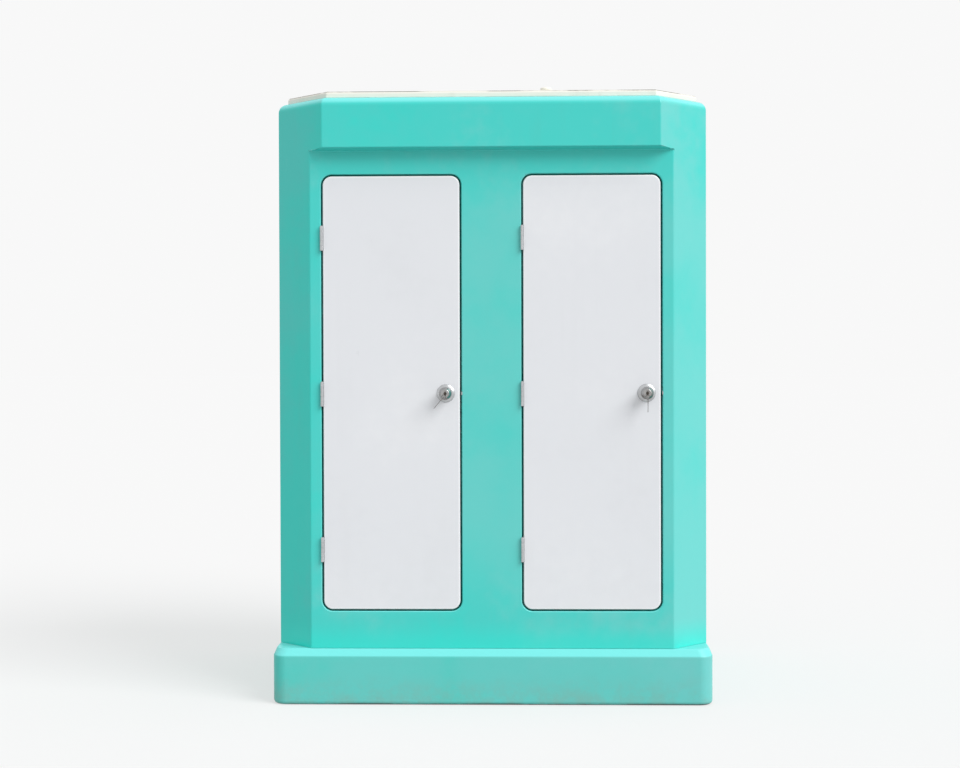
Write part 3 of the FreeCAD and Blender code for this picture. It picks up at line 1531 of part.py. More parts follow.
def mirror():
    half = mirror_width / 2
    points = [(inner_x, basin_y - half, mirror_bottom), (inner_x, basin_y + half, mirror_bottom),
              (inner_x, basin_y + half, mirror_bottom + mirror_height),
              (inner_x, basin_y - half, mirror_bottom + mirror_height)]
    return Part.Face(closed_wire(points, [mirror_corner] * 4)).extrude(Vector(-mirror_thickness, 0, 0))


def paper_holder():
    wall = partition_thickness / 2
    half = paper_width / 2 + holder_arm
    half_y = half + holder_plate_margin
    half_z = holder_plate_height / 2
    pieces = [block(wall, wall + holder_plate_thickness, holder_y - half_y, holder_y + half_y,
                    holder_level - half_z, holder_level + half_z)]
    for sign in SIDES.values():
        start = holder_y + sign * (half + holder_arm / 2) - holder_arm / 2
        pieces.append(block(wall, holder_x, start, start + holder_arm, holder_level - holder_boss_radius,
                            holder_level + holder_boss_radius))
        pieces.append(rod(holder_boss_radius, (holder_x, start, holder_level), AXIS_Y, holder_arm))
    pieces.append(rod(holder_spindle_radius, (holder_x, holder_y - half, holder_level), AXIS_Y, 2 * half))
    return join(pieces)


def paper_roll():
    return tube(paper_radius, paper_radius - paper_core_radius,
                (holder_x, holder_y - paper_width / 2, holder_level), AXIS_Y, paper_width)


def coat_hook():
    wall = partition_thickness / 2
    face = wall + hook_plate_thickness
    half_y, half_z = hook_plate_width / 2, hook_plate_height / 2
    plate = block(wall, face, hook_y - half_y, hook_y + half_y, hook_level - half_z, hook_level + half_z)
    corners = [e for e in plate.Edges if e.BoundBox.XLength > hook_plate_thickness / 2]
    plate = plate.makeFillet(hook_plate_corner, corners)
    pieces = [plate]
    for arm, tip in ((hook_upper, hook_upper_tip), (hook_lower, hook_lower_tip)):
        points = [(face + out, hook_y, hook_level + rise) for out, rise in arm]
        pieces.append(run_of_pipe(hook_wire, points))
        pieces.append(Part.makeSphere(tip, Vector(*points[-1])))
    behind = block(0, wall, hook_y - half_y, hook_y + half_y, hook_level - half_z, hook_level + half_z)
    return join(pieces).cut(behind)


def ceiling_light():
    profile = [(0, 0), (light_radius, 0), (light_radius, -light_base), (light_rim_radius, -light_step),
               (light_shoulder_radius, -light_shoulder), (light_brow_radius, -light_brow),
               (light_face_radius, -light_height), (0, -light_height)]
    return spun(profile, (toilet_x, light_y, ceiling_level), AXIS_Z)


def vent_louvre():
    """A frame that sits in the rear wall's cut-out, with sloped slats."""
    x0, x1 = toilet_x - louvre_width / 2, toilet_x + louvre_width / 2
    z0, z1 = louvre_level - louvre_height / 2, louvre_level + louvre_height / 2
    start = inner_back - louvre_sleeve
    face = wall_back + louvre_flange_thickness
    flange = block(x0 - louvre_flange, x1 + louvre_flange, wall_back, face, z0 - louvre_flange,
                   z1 + louvre_flange)
    sleeve = block(x0, x1, start, face, z0, z1)
    way = block(x0 + louvre_rim, x1 - louvre_rim, start - over, face + over, z0 + louvre_rim, z1 - louvre_rim)
    pitch = (louvre_height - 2 * louvre_rim) / louvre_slats
    half_y, half_z = louvre_slat_depth / 2, louvre_slat_thickness / 2
    slats = []
    for index in range(louvre_slats):
        level = z0 + louvre_rim + pitch * (index + 0.5)
        slat = block(x0 + louvre_rim, x1 - louvre_rim, -half_y, half_y, -half_z, half_z)
        slat.rotate(Vector(0, 0, 0), AXIS_X, -louvre_slat_tilt)
        slat.translate(Vector(0, wall_back - louvre_slat_setback, level))
        slats.append(slat.common(sleeve))
    return join([join([flange, sleeve]).cut(way)] + slats)


def build():
    """Every node's name and its solids."""
    parts = {"base_plinth": [base_plinth()], "waste_tank": waste_tank(), "floor_deck": [floor_deck()]}
    for name, panel in shell_panels().items():
        parts[name] = [panel]
    parts["shell_bolts"] = shell_bolts()
    parts["roof_cover"] = [roof_cover()]
    parts["partition_wall"] = [partition_wall()]
    parts["ceiling_panel"] = [ceiling_panel()]
    parts["water_tank"] = water_tank()
    parts["tank_lid"] = [tank_lid()]
    parts["vent_pipe"] = vent_pipe()
    parts["drain_valve"] = [drain_valve()]
    parts["valve_lever"] = [valve_lever()]
    parts["door_frames"] = [piece for side in SIDES for piece in door_frame(side)]
    parts["door_seals"] = [door_seal(side) for side in SIDES]
    parts["strike_plates"] = [strike_plate(side) for side in SIDES]
    parts["frame_hinge_leaves"] = [hinge_leaf(side, z, 0) for side in SIDES for z in hinge_levels]
    parts["hinge_pins"] = [hinge_pin(side, z) for side in SIDES for z in hinge_levels]
    for shape in [seat_rod()] + seat_posts():
        parts["hinge_pins"] += both_sides(shape)
    parts["hinge_pins"].append(lid_hinge_pin())
    for side in SIDES:
        parts["door_leaf_" + side] = [door_leaf(side)]
        parts["door_hinge_leaves_" + side] = [hinge_leaf(side, z, 1) for z in hinge_levels]
        parts["lock_body_" + side] = lock_body(side)
        parts["latch_bolt_" + side] = [latch_bolt(side)]
        parts["outer_knob_" + side] = [outer_knob(side)]
        parts["inner_knob_" + side] = [inner_knob(side)]
        parts["turn_button_" + side] = [turn_button(side)]
        parts["key_" + side] = key(side)
        parts["spare_key_" + side] = spare_key(side)
    fixed = {"toilet_bowls": toilet_bowl(), "cisterns": cistern(), "cistern_lids": cistern_lid(),
             "basins": basin(), "tap_bodies": tap_body(), "mirrors": mirror(),
             "paper_holders": paper_holder(), "coat_hooks": coat_hook(),
             "ceiling_lights": ceiling_light(), "vent_louvres": vent_louvre()}
    for name, shape in fixed.items():
        parts[name] = both_sides(shape)
    parts["pipework"] = both_sides(supply_pipe()) + both_sides(drain_pipe()) + [inlet_pipe()]
    moving = {"toilet_seat": toilet_seat(), "toilet_lid": toilet_lid(), "flush_button": [flush_button()],
              "tap_lever": [tap_lever()], "paper_roll": [paper_roll()]}
    for name, solids in moving.items():
        parts[name + "_left"] = [mirrored(solid) for solid in solids]
        parts[name + "_right"] = solids
    return parts


def write(parts):
    os.makedirs("parts", exist_ok=True)
    for name, solids in parts.items():
        shape = solids[0] if len(solids) == 1 else Part.makeCompound(solids)
        if len(shape.Solids) != len(solids) or not shape.isValid():
            print("check", name, len(shape.Solids), "solids from", len(solids), "valid", shape.isValid())
        shape.exportStep(os.path.join("parts", name + ".step"))
    print(len(parts), "nodes")


if __name__ == "__main__":
    write(build())
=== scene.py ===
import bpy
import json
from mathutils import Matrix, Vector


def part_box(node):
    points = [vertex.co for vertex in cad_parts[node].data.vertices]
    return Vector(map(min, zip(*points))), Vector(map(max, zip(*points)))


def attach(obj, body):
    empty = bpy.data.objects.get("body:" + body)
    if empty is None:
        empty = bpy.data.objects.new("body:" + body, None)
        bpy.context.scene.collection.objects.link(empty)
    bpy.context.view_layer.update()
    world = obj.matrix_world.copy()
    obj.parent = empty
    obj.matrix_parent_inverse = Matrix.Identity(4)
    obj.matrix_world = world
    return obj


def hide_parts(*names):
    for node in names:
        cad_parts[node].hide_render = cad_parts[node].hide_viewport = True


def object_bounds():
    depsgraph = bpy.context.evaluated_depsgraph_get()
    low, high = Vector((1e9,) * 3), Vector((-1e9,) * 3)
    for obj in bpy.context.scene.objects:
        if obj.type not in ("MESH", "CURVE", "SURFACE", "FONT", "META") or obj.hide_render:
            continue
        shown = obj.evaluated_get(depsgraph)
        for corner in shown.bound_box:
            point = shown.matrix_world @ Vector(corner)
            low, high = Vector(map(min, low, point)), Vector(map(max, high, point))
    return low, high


bl_info = {
    "name": "Twin Toilet Cabin",
    "version": (1, 0, 0),
    "blender": (4, 5, 0),
    "location": "View3D > Sidebar > Cabin",
    "description": "Finishes, rounded mouldings and fittings for a twin toilet cabin, with a plain studio",
    "category": "Object",
}

import json
import math

import bmesh
import bpy
from bpy.props import FloatProperty, FloatVectorProperty, PointerProperty
from mathutils import Matrix, Vector

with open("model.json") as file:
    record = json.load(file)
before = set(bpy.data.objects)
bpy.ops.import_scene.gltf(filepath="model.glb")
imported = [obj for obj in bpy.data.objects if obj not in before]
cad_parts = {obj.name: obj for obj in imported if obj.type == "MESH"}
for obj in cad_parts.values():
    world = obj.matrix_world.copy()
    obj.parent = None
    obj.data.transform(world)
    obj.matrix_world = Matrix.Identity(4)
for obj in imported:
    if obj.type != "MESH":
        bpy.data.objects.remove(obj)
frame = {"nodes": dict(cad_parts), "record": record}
cad_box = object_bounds()

SLOT_OF = {row["node"]: row["material_slot"] for row in frame["record"]["subparts"]}
BODY_OF = {node: body for body, nodes in frame["record"]["behaviour"]["bodies"].items() for node in nodes}
SIDES = ("left", "right")
WHITE = (1.0, 1.0, 1.0)

# Mesh work: distances and angles, and how many steps a rounding has
WELD = 1e-5
CONTACT_DIGITS = 5
OPPOSED = -0.99
FLAT = math.radians(0.1)
SHARP = math.radians(28)
SMOOTH = math.radians(35)
FACE_WEIGHT = 80
FEW_STEPS = 2
STEPS = 3
MANY_STEPS = 4


def srgb(red, green, blue):
    """A colour written as 0 to 255 display values, as the linear colour that shaders use."""
    linear = []
    for value in (red, green, blue):
        share = value / 255
        linear.append(share / 12.92 if share <= 0.04045 else ((share + 0.055) / 1.055) ** 2.4)
    return tuple(linear)


def colour_property(name, description, shown):
    return FloatVectorProperty(name=name, description=description, default=srgb(*shown), size=3,
                               min=0.0, max=1.0, subtype="COLOR")


def size_property(name, description, default):
    return FloatProperty(name=name, description=description, default=default, min=0.0,
                         unit="LENGTH", precision=4)


def angle_property(name, description, degrees):
    return FloatProperty(name=name, description=description, default=math.radians(degrees),
                         unit="ROTATION")


class CabinColours(bpy.types.PropertyGroup):
    shell: colour_property("Shell", "Gelcoat of the moulded walls", (68, 210, 201))
    shell_chalk: colour_property("Chalked shell", "Where the gelcoat has gone chalky", (106, 208, 202))
    shell_fresh: colour_property("Fresh shell", "Where the gelcoat has kept its colour", (40, 216, 203))
    shell_washed: colour_property("Washed shell", "Where rain splashes off the ledge", (46, 224, 210))
    plinth: colour_property("Plinth", "Gelcoat of the base, a little greyer", (98, 203, 196))
    plinth_chalk: colour_property("Chalked plinth", "Where the base has gone chalky", (112, 202, 198))
    plinth_fresh: colour_property("Fresh plinth", "Where the base has kept its colour", (74, 205, 194))
    # Paler where the gelcoat faces the sky: partly sun-fading, partly painted sky light.
    bleached: colour_property("Bleached edge", "Gelcoat that faces the sky", (118, 226, 223))
    # Pale along outer edges: partly wear, partly a painted highlight on the rounded edges.
    rubbed: colour_property("Rubbed edge", "Gelcoat worn pale along outer edges", (158, 238, 232))
    doors: colour_property("Doors", "White gelcoat of the door leaves", (229, 231, 235))
    roof: colour_property("Roof", "Cream gelcoat of the roof cover", (240, 238, 228))
    rooms: colour_property("Rooms", "Pale laminate of the inner walls", (228, 233, 231))
    deck: colour_property("Floor deck", "Non-slip floor", (126, 132, 134))
    jambs: colour_property("Door frames", "Moulded frames behind the shell", (60, 196, 187))
    steel: colour_property("Steel", "Brushed stainless steel", (196, 198, 200))
    chrome: colour_property("Chrome", "Polished knobs and taps", (172, 171, 170))
    keys: colour_property("Keys", "Nickel-plated keys", (96, 90, 84))
    dark_tank: colour_property("Waste tank", "Dark moulded tank", (40, 43, 46))
    pale_tank: colour_property("Water tank", "Pale moulded tank", (214, 222, 226))
    pipes: colour_property("Pipes", "Grey plastic pipe", (168, 172, 176))
    valve: colour_property("Drain valve", "Dark grey valve body", (88, 92, 98))
    lever: colour_property("Valve lever", "Red painted lever", (178, 40, 32))
    ceramic: colour_property("Ceramic", "White glaze", (240, 241, 239))
    seats: colour_property("Seats", "Gloss white plastic", (238, 239, 237))
    paper: colour_property("Paper", "Soft white paper", (240, 238, 231))
    rubber: colour_property("Rubber", "Dark green seals", (30, 126, 117))
    # A darker warm grey laid on metal where it faces down.
    grime: colour_property("Tarnish", "Warm grey film under the metal fittings", (112, 102, 96))
    dust: colour_property("Dust", "Dry dust that settles low down", (148, 152, 138))
    soil: colour_property("Soil", "Dark dirt in chips and joints", (72, 62, 50))


class CabinSizes(bpy.types.PropertyGroup):
    moulding_edge: size_property("Moulding edge", "Rounding of the mouldings' cut edges", 0.0022)
    opening_edge: size_property("Opening edge", "Rounding round the doorways", 0.0045)
    header_edge: size_property("Header edge", "Rounding under the header", 0.004)
    foot_edge: size_property("Foot edge", "Rounding of the plinth's foot", 0.014)
    ledge_edge: size_property("Ledge edge", "Rounding of the plinth's ledge", 0.005)
    door_edge: size_property("Door edge", "Rounding of the door's back edges", 0.0015)
    metal_edge: size_property("Metal edge", "Rounding of hinges and plates", 0.00035)
    key_edge: size_property("Key edge", "Rounding of the thin keys", 0.00025)
    plastic_edge: size_property("Plastic edge", "Rounding of plastic fittings", 0.0008)
    ceramic_edge: size_property("Ceramic edge", "Rounding of the sanitary ware", 0.003)
    tank_edge: size_property("Tank edge", "Rounding of the moulded tanks", 0.006)


class CabinStage(bpy.types.PropertyGroup):
    camera_x: FloatProperty(name="Camera to the right", description="Camera's place across the front",
                            default=0.133, unit="LENGTH")
    camera_distance: size_property("Camera distance", "From the lens to the front wall", 7.0)
    camera_height: size_property("Camera height", "Above the ground", 1.458)
    turn: angle_property("Turn", "How far the camera looks to the left", 1.49)
    tilt: angle_property("Tilt", "How far the camera looks up", -0.80)
    roll: angle_property("Roll", "How far the camera leans", -0.15)
    lens: FloatProperty(name="Lens", description="Focal length in millimetres", default=62.03, min=1.0)
    sun: FloatProperty(name="Key light", description="Strength of the soft key light", default=2.25,
                       min=0.0)
    sky: FloatProperty(name="Sky", description="Strength of the studio's even light", default=0.70,
                       min=0.0)


# Node helpers

NOISE_SPAN = (0.3, 0.7)


def feed(tree, socket, value):
    """Links a socket to another one, or sets its value; a colour may come without its alpha."""
    if isinstance(value, bpy.types.NodeSocket):
        tree.links.new(value, socket)
    elif socket.type == "RGBA" and len(value) == 3:
        socket.default_value = (*value, 1.0)
    else:
        socket.default_value = value


def put(tree, kind, wires=None, **settings):
    """A node with its settings; each wire is a value or another node's socket."""
    made = tree.nodes.new(kind)
    for name, value in settings.items():
        setattr(made, name, value)
    for key, value in (wires or {}).items():
        feed(tree, made.inputs[key], value)
    return made


def noise(tree, vector, scale, detail=4.0, roughness=0.55):
    wires = {"Vector": vector, "Scale": scale, "Detail": detail, "Roughness": roughness}
    return put(tree, "ShaderNodeTexNoise", wires).outputs["Fac"]


def ranged(tree, value, low, high, to_low=0.0, to_high=1.0):
    """A value eased from one range to another."""
    wires = {"Value": value, "From Min": low, "From Max": high, "To Min": to_low, "To Max": to_high}
    return put(tree, "ShaderNodeMapRange", wires, interpolation_type="SMOOTHSTEP").outputs["Result"]


def spread(tree, value, low, high):
    """A noise value whose usual span is eased to another range."""
    return ranged(tree, value, *NOISE_SPAN, low, high)


def math_node(tree, operation, first, second):
    return put(tree, "ShaderNodeMath", {0: first, 1: second}, operation=operation).outputs[0]


def times(tree, first, second):
    return math_node(tree, "MULTIPLY", first, second)


def plus(tree, first, second):
    return math_node(tree, "ADD", first, second)


def mixed(tree, share, first, second):
    """The second colour over the first by a share; the numbers are the node's colour sockets."""
    return put(tree, "ShaderNodeMix", {0: share, 6: first, 7: second}, data_type="RGBA").outputs[2]


def layered(tree, base, *layers):
    """A colour with further colours laid over it, each by its own share."""
    for share, colour in layers:
        base = mixed(tree, share, base, colour)
    return base


def stretched(tree, vector, scale):
    return put(tree, "ShaderNodeMapping", {"Vector": vector, "Scale": scale}).outputs["Vector"]


def along(tree, vector, axis):
    return put(tree, "ShaderNodeSeparateXYZ", {0: vector}).outputs[axis]


def surface_normal(tree):
    return put(tree, "ShaderNodeNewGeometry").outputs["Normal"]


def shared(name, inputs, outputs, build):
    """A node group, built once; inputs and outputs are (name, kind) pairs."""
    tree = bpy.data.node_groups.get(name)
    if tree:
        return tree
    tree = bpy.data.node_groups.new(name, "ShaderNodeTree")
    for direction, sockets in (("INPUT", inputs), ("OUTPUT", outputs)):
        for label, kind in sockets:
            tree.interface.new_socket(name=label, in_out=direction, socket_type="NodeSocket" + kind)
    given = tree.nodes.new("NodeGroupInput").outputs
    result = tree.nodes.new("NodeGroupOutput").inputs
    for label, socket in build(tree, given).items():
        tree.links.new(socket, result[label])
    return tree


def placed(tree, group, wires):
    return put(tree, "ShaderNodeGroup", wires, node_tree=group).outputs


# Shared effects


def moulded_skin():
    """Clouded colour, uneven gloss, orange peel and slow waves, as in a hand-laid moulding."""

    def build(tree, given):
        vector = given["Vector"]
        broad = noise(tree, vector, 1.6, 3.0, 0.4)
        fine = noise(tree, vector, 17.0, 4.0, 0.5)
        pores = noise(tree, vector, 55.0, 3.0, 0.6)
        cloud = plus(tree, times(tree, broad, 0.8), times(tree, fine, 0.2))
        cloud = times(tree, math_node(tree, "SUBTRACT", cloud, 0.5), given["Mottle"])
        # Paler on the side facing the key light and deeper on the side away from it: partly chalking,
        # partly painted light and shade.
        lit_side_and_chalk = times(tree, along(tree, surface_normal(tree), "X"), given["Sunward"])
        amount = plus(tree, cloud, lit_side_and_chalk)
        full_change = 0.22
        paler = ranged(tree, amount, 0.0, full_change)
        deeper = ranged(tree, times(tree, amount, -1.0), 0.0, full_change)
        colour = layered(tree, given["Colour"], (paler, given["Pale"]), (deeper, given["Deep"]))
        gloss = times(tree, math_node(tree, "SUBTRACT", fine, 0.5), 0.22)
        peel = times(tree, noise(tree, vector, 210.0, 2.0), 0.10)
        waves = times(tree, noise(tree, vector, 2.6, 2.0), 1.6)
        height = plus(tree, plus(tree, peel, waves), times(tree, pores, 0.07))
        return {"Colour": colour, "Roughness": plus(tree, given["Gloss"], gloss), "Height": height}

    inputs = [("Vector", "Vector"), ("Colour", "Color"), ("Pale", "Color"), ("Deep", "Color"),
              ("Mottle", "Float"), ("Sunward", "Float"), ("Gloss", "Float")]
    outputs = [("Colour", "Color"), ("Roughness", "Float"), ("Height", "Float")]
    return shared("Moulded skin", inputs, outputs, build)


def edge_wear():
    """A mask that is high along outer edges, broken up by noise."""

    def build(tree, given):
        rounding = put(tree, "ShaderNodeBevel", {"Radius": given["Radius"]}, samples=6).outputs[0]
        wires = {0: rounding, 1: surface_normal(tree)}
        same = put(tree, "ShaderNodeVectorMath", wires, operation="DOT_PRODUCT").outputs["Value"]
        edge = ranged(tree, same, 0.995, 0.90)
        broken = noise(tree, given["Vector"], 38.0, 6.0, 0.65)
        broken = ranged(tree, plus(tree, broken, given["Unbroken"]), 0.30, 0.68)
        return {"Mask": times(tree, times(tree, edge, broken), given["Amount"])}

    inputs = [("Vector", "Vector"), ("Radius", "Float"), ("Unbroken", "Float"), ("Amount", "Float")]
    return shared("Edge wear and highlight", inputs, [("Mask", "Float")], build)


def low_dust():
    """A mask that grows towards the ground and lies in uneven patches."""

    def build(tree, given):
        share = math_node(tree, "DIVIDE", along(tree, given["Vector"], "Z"), given["Reach"])
        fade = ranged(tree, share, 1.0, 0.0)
        patches = ranged(tree, noise(tree, given["Vector"], 9.0, 8.0, 0.7), 0.35, 0.70)
        return {"Mask": times(tree, times(tree, fade, patches), given["Amount"])}

    inputs = [("Vector", "Vector"), ("Reach", "Float"), ("Amount", "Float")]
    return shared("Low dust", inputs, [("Mask", "Float")], build)


def rain_streaks():
    """Faint upright runs left by rain."""

    def build(tree, given):
        runs = noise(tree, stretched(tree, given["Vector"], (16.0, 16.0, 0.55)), 1.0, 6.0, 0.6)
        patches = noise(tree, given["Vector"], 2.1, 3.0)
        mask = times(tree, ranged(tree, runs, 0.50, 0.74), ranged(tree, patches, 0.40, 0.66))
        return {"Mask": times(tree, mask, given["Amount"])}

    inputs = [("Vector", "Vector"), ("Amount", "Float")]
    return shared("Rain streaks", inputs, [("Mask", "Float")], build)


def settled_dust():
    """Dust on what lies flat, and how far a surface faces the sky."""

    def build(tree, given):
        level = along(tree, surface_normal(tree), "Z")
        patches = ranged(tree, noise(tree, given["Vector"], 13.0, 7.0, 0.65), 0.30, 0.75)
        mask = times(tree, ranged(tree, level, 0.75, 0.99), patches)
        return {"Mask": times(tree, mask, given["Amount"]), "Sky": ranged(tree, level, 0.18, 0.62)}

    inputs = [("Vector", "Vector"), ("Amount", "Float")]
    return shared("Settled dust", inputs, [("Mask", "Float"), ("Sky", "Float")], build)


def brushed_grain():
    """Fine lines along one direction, with smudges."""

    def build(tree, given):
        wires = {0: given["Vector"], 1: given["Stretch"]}
        drawn = put(tree, "ShaderNodeVectorMath", wires, operation="MULTIPLY").outputs[0]
        lines = noise(tree, drawn, 1.0, 5.0, 0.6)
        smudge = noise(tree, given["Vector"], 30.0, 5.0)
        rough = plus(tree, spread(tree, lines, -0.06, 0.08), ranged(tree, smudge, 0.35, 0.7, -0.04, 0.10))
        return {"Roughness": plus(tree, given["Gloss"], rough), "Height": lines,
                "Tint": ranged(tree, smudge, 0.3, 0.75)}

    inputs = [("Vector", "Vector"), ("Stretch", "Vector"), ("Gloss", "Float")]
    outputs = [("Roughness", "Float"), ("Height", "Float"), ("Tint", "Float")]
    return shared("Brushed grain", inputs, outputs, build)


# Finishes

DUST_ROUGHENS = 0.3


def shade(colour, factor):
    return tuple(min(1.0, channel * factor) for channel in colour)


def blended(first, second, share):
    return tuple(a + (b - a) * share for a, b in zip(first, second))


def new_finish(slot, constants=None):
    """A material with its shader, and the object coordinates that its patterns use."""
    material = bpy.data.materials.new(slot + "_finish")
    material.use_nodes = True
    tree = material.node_tree
    tree.nodes.clear()
    shader = put(tree, "ShaderNodeBsdfPrincipled", constants)
    put(tree, "ShaderNodeOutputMaterial", {"Surface": shader.outputs[0]})
    vector = put(tree, "ShaderNodeTexCoord").outputs["Object"]
    return material, tree, shader, vector


def reopened(material):
    """A finish's tree, shader, object coordinates and colour, for further layers over it."""
    tree = material.node_tree
    shader = next(node for node in tree.nodes if node.type == "BSDF_PRINCIPLED")
    vector = next(node for node in tree.nodes if node.type == "TEX_COORD").outputs["Object"]
    return tree, shader, vector, shader.inputs["Base Color"].links[0].from_socket


def bump(tree, height, strength, distance):
    wires = {"Height": height, "Strength": strength, "Distance": distance}
    return put(tree, "ShaderNodeBump", wires).outputs[0]


def wire(tree, shader, **sockets):
    names = {"colour": "Base Color", "roughness": "Roughness", "normal": "Normal"}
    for key, socket in sockets.items():
        tree.links.new(socket, shader.inputs[names[key]])


def gelcoat(name, colour, pale, deep, bleached, rubbed, gloss=0.36, mottle=1.0, lit_side_and_chalk=0.0,
            dust_reach=0.9, dust=0.35, streaks=0.25, settled=0.3, wear=0.5, worn_width=0.006,
            unbroken=0.0, coat=0.08, wave=1.0):
    """Moulded glass-fibre with its coloured gelcoat: clouded and dusty, paler facing the sky (partly
    fading, partly painted sky light), pale at its edges (partly wear, partly a painted highlight).
    """
    dusty = bpy.context.scene.cabin_colours.dust
    material, tree, shader, vector = new_finish(name, {
        "Specular IOR Level": 0.35, "Coat Weight": coat, "Coat Roughness": 0.22})
    skin = placed(tree, moulded_skin(), {
        "Vector": vector, "Colour": colour, "Pale": pale, "Deep": deep, "Mottle": mottle,
        "Sunward": lit_side_and_chalk, "Gloss": gloss})
    low = placed(tree, low_dust(), {"Vector": vector, "Reach": dust_reach, "Amount": dust})["Mask"]
    runs = placed(tree, rain_streaks(), {"Vector": vector, "Amount": streaks})["Mask"]
    settling = placed(tree, settled_dust(), {"Vector": vector, "Amount": settled})
    # Pale edge line: wear where noise breaks it up, a painted highlight where it runs unbroken.
    worn = placed(tree, edge_wear(), {
        "Vector": vector, "Radius": worn_width, "Unbroken": unbroken, "Amount": wear})["Mask"]
    # Layers: dust low down, darker rain runs, a paler colour facing the sky (partly fading, partly painted
    # sky light), dust on flat tops, and the pale edge line.
    base = layered(
        tree, skin["Colour"], (low, dusty), (runs, blended(shade(colour, 0.8), dusty, 0.35)),
        (settling["Sky"], bleached), (settling["Mask"], blended(colour, dusty, 0.55)), (worn, rubbed))
    rough = plus(tree, skin["Roughness"], times(tree, settling["Mask"], DUST_ROUGHENS))
    normal = bump(tree, skin["Height"], 0.35 * wave, 0.0012)
    wire(tree, shader, colour=base, roughness=rough, normal=normal)
    return material


def turquoise_composite(colours):
    """The walls' gelcoat, chalky at hand height and washed fresh by the splash off the ledge."""
    material = gelcoat("turquoise_composite", colours.shell, colours.shell_chalk, colours.shell_fresh,
                       colours.bleached, colours.rubbed, lit_side_and_chalk=0.24, dust=0.04, streaks=0.10)
    tree, shader, vector, base = reopened(material)
    level = along(tree, vector, "Z")
    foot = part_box("front_shell")[0].z
    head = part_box("door_leaf_left")[1].z
    chalk_starts, chalk_full = foot + 0.10, foot + 0.55
    chalk_fades, chalk_ends = head - 0.25, head + 0.05
    left_corner, off_corner = -0.84, -0.42
    splash_full, splash_ends = foot + 0.01, foot + 0.13
    handled = times(tree, ranged(tree, level, chalk_starts, chalk_full),
                    ranged(tree, level, chalk_ends, chalk_fades))
    sideways = ranged(tree, along(tree, vector, "X"), left_corner, off_corner, 0.05, 1.0)
    handled = times(tree, handled, sideways)
    patches = ranged(tree, noise(tree, vector, 2.3, 4.0, 0.55), 0.30, 0.62, 0.35, 0.85)
    splashed = ranged(tree, level, splash_ends, splash_full, 0.0, 0.7)
    base = layered(tree, base, (times(tree, handled, patches), colours.shell_chalk),
                   (splashed, colours.shell_washed))
    wire(tree, shader, colour=base)
    return material


def plinth_composite(colours):
    """The base's gelcoat, with dirt splashed low down and chips along the bottom."""
    # The ledge's edges carry a pale line, partly wear and partly a painted highlight, and its top turns
    # paler, partly fading and partly painted sky light.
    material = gelcoat("plinth_composite", colours.plinth, colours.plinth_chalk, colours.plinth_fresh,
                       colours.bleached, colours.rubbed, gloss=0.42, mottle=0.8, lit_side_and_chalk=0.1,
                       dust_reach=0.16, dust=0.35, streaks=0.05, settled=0.15, wear=1.0,
                       worn_width=0.009, unbroken=0.4)
    tree, shader, vector, base = reopened(material)
    level = along(tree, vector, "Z")
    chips_end, chips_full = 0.014, 0.001
    specks_end, specks_full = 0.07, 0.005
    near_ground = ranged(tree, level, chips_end, chips_full)
    broken = noise(tree, stretched(tree, vector, (5.0, 5.0, 40.0)), 1.0, 8.0, 0.7)
    chips = ranged(tree, plus(tree, broken, times(tree, near_ground, 0.22)), 0.56, 0.68)
    specks = ranged(tree, noise(tree, vector, 90.0, 6.0, 0.7), 0.69, 0.76)
    splashed = ranged(tree, level, specks_end, specks_full, 0.0, 0.8)
    base = layered(tree, base, (times(tree, chips, near_ground), shade(colours.soil, 0.7)),
                   (times(tree, specks, splashed), colours.soil))
    wire(tree, shader, colour=base)
    return material


def door_composite(colours):
    colour = colours.doors
    # Painted highlight: the door's edges carry an unbroken pale line and what faces the sky turns paler,
    # both standing in for light catching the door.
    white = blended(colour, WHITE, 0.85)
    return gelcoat("door_composite", colour, blended(colour, WHITE, 0.2), shade(colour, 0.96), white, white,
                   gloss=0.33, mottle=0.8, dust_reach=1.0, dust=0.05, streaks=0.04, settled=0.1, wear=1.0,
                   worn_width=0.016, unbroken=1.0, coat=0.3, wave=0.7)


def roof_composite(colours):
    """Cream gelcoat with broken grey-brown lines along the cover's top edge and foot."""
    colour = colours.roof
    material = gelcoat("roof_composite", colour, blended(colour, WHITE, 0.3), shade(colour, 0.92), colour,
                       colour, gloss=0.45, dust_reach=0.01, dust=0.0, settled=0.38, wear=0.2)
    tree, shader, vector, base = reopened(material)
    low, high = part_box("roof_cover")
    level = along(tree, vector, "Z")
    facing_up = along(tree, surface_normal(tree), "Z")
    brow_starts, brow_full = high.z - 0.0060, high.z - 0.0035
    cover_ends, lid_starts = high.z + 0.0005, high.z + 0.0015
    foot_full, foot_ends = low.z + 0.001, low.z + 0.005
    brow = times(tree, ranged(tree, level, brow_starts, brow_full),
                 ranged(tree, level, lid_starts, cover_ends))
    brow = times(tree, brow, ranged(tree, facing_up, 0.998, 0.985))
    foot = times(tree, ranged(tree, level, foot_ends, foot_full), 0.4)
    dashes = noise(tree, stretched(tree, vector, (3.2, 6.0, 30.0)), 1.0, 5.0, 0.6)
    dashes = ranged(tree, dashes, 0.47, 0.53, 0.22, 0.85)
    seam = times(tree, math_node(tree, "MAXIMUM", foot, brow), dashes)
    base = mixed(tree, seam, base, blended(colours.soil, colours.dust, 0.35))
    wire(tree, shader, colour=base)
    return material


def inner_composite(colours):
    colour = colours.rooms
    return gelcoat("inner_composite", colour, blended(colour, WHITE, 0.2), shade(colour, 0.93), colour,
                   blended(colour, WHITE, 0.5), gloss=0.42, dust=0.25, streaks=0.06, settled=0.2, wear=0.3)


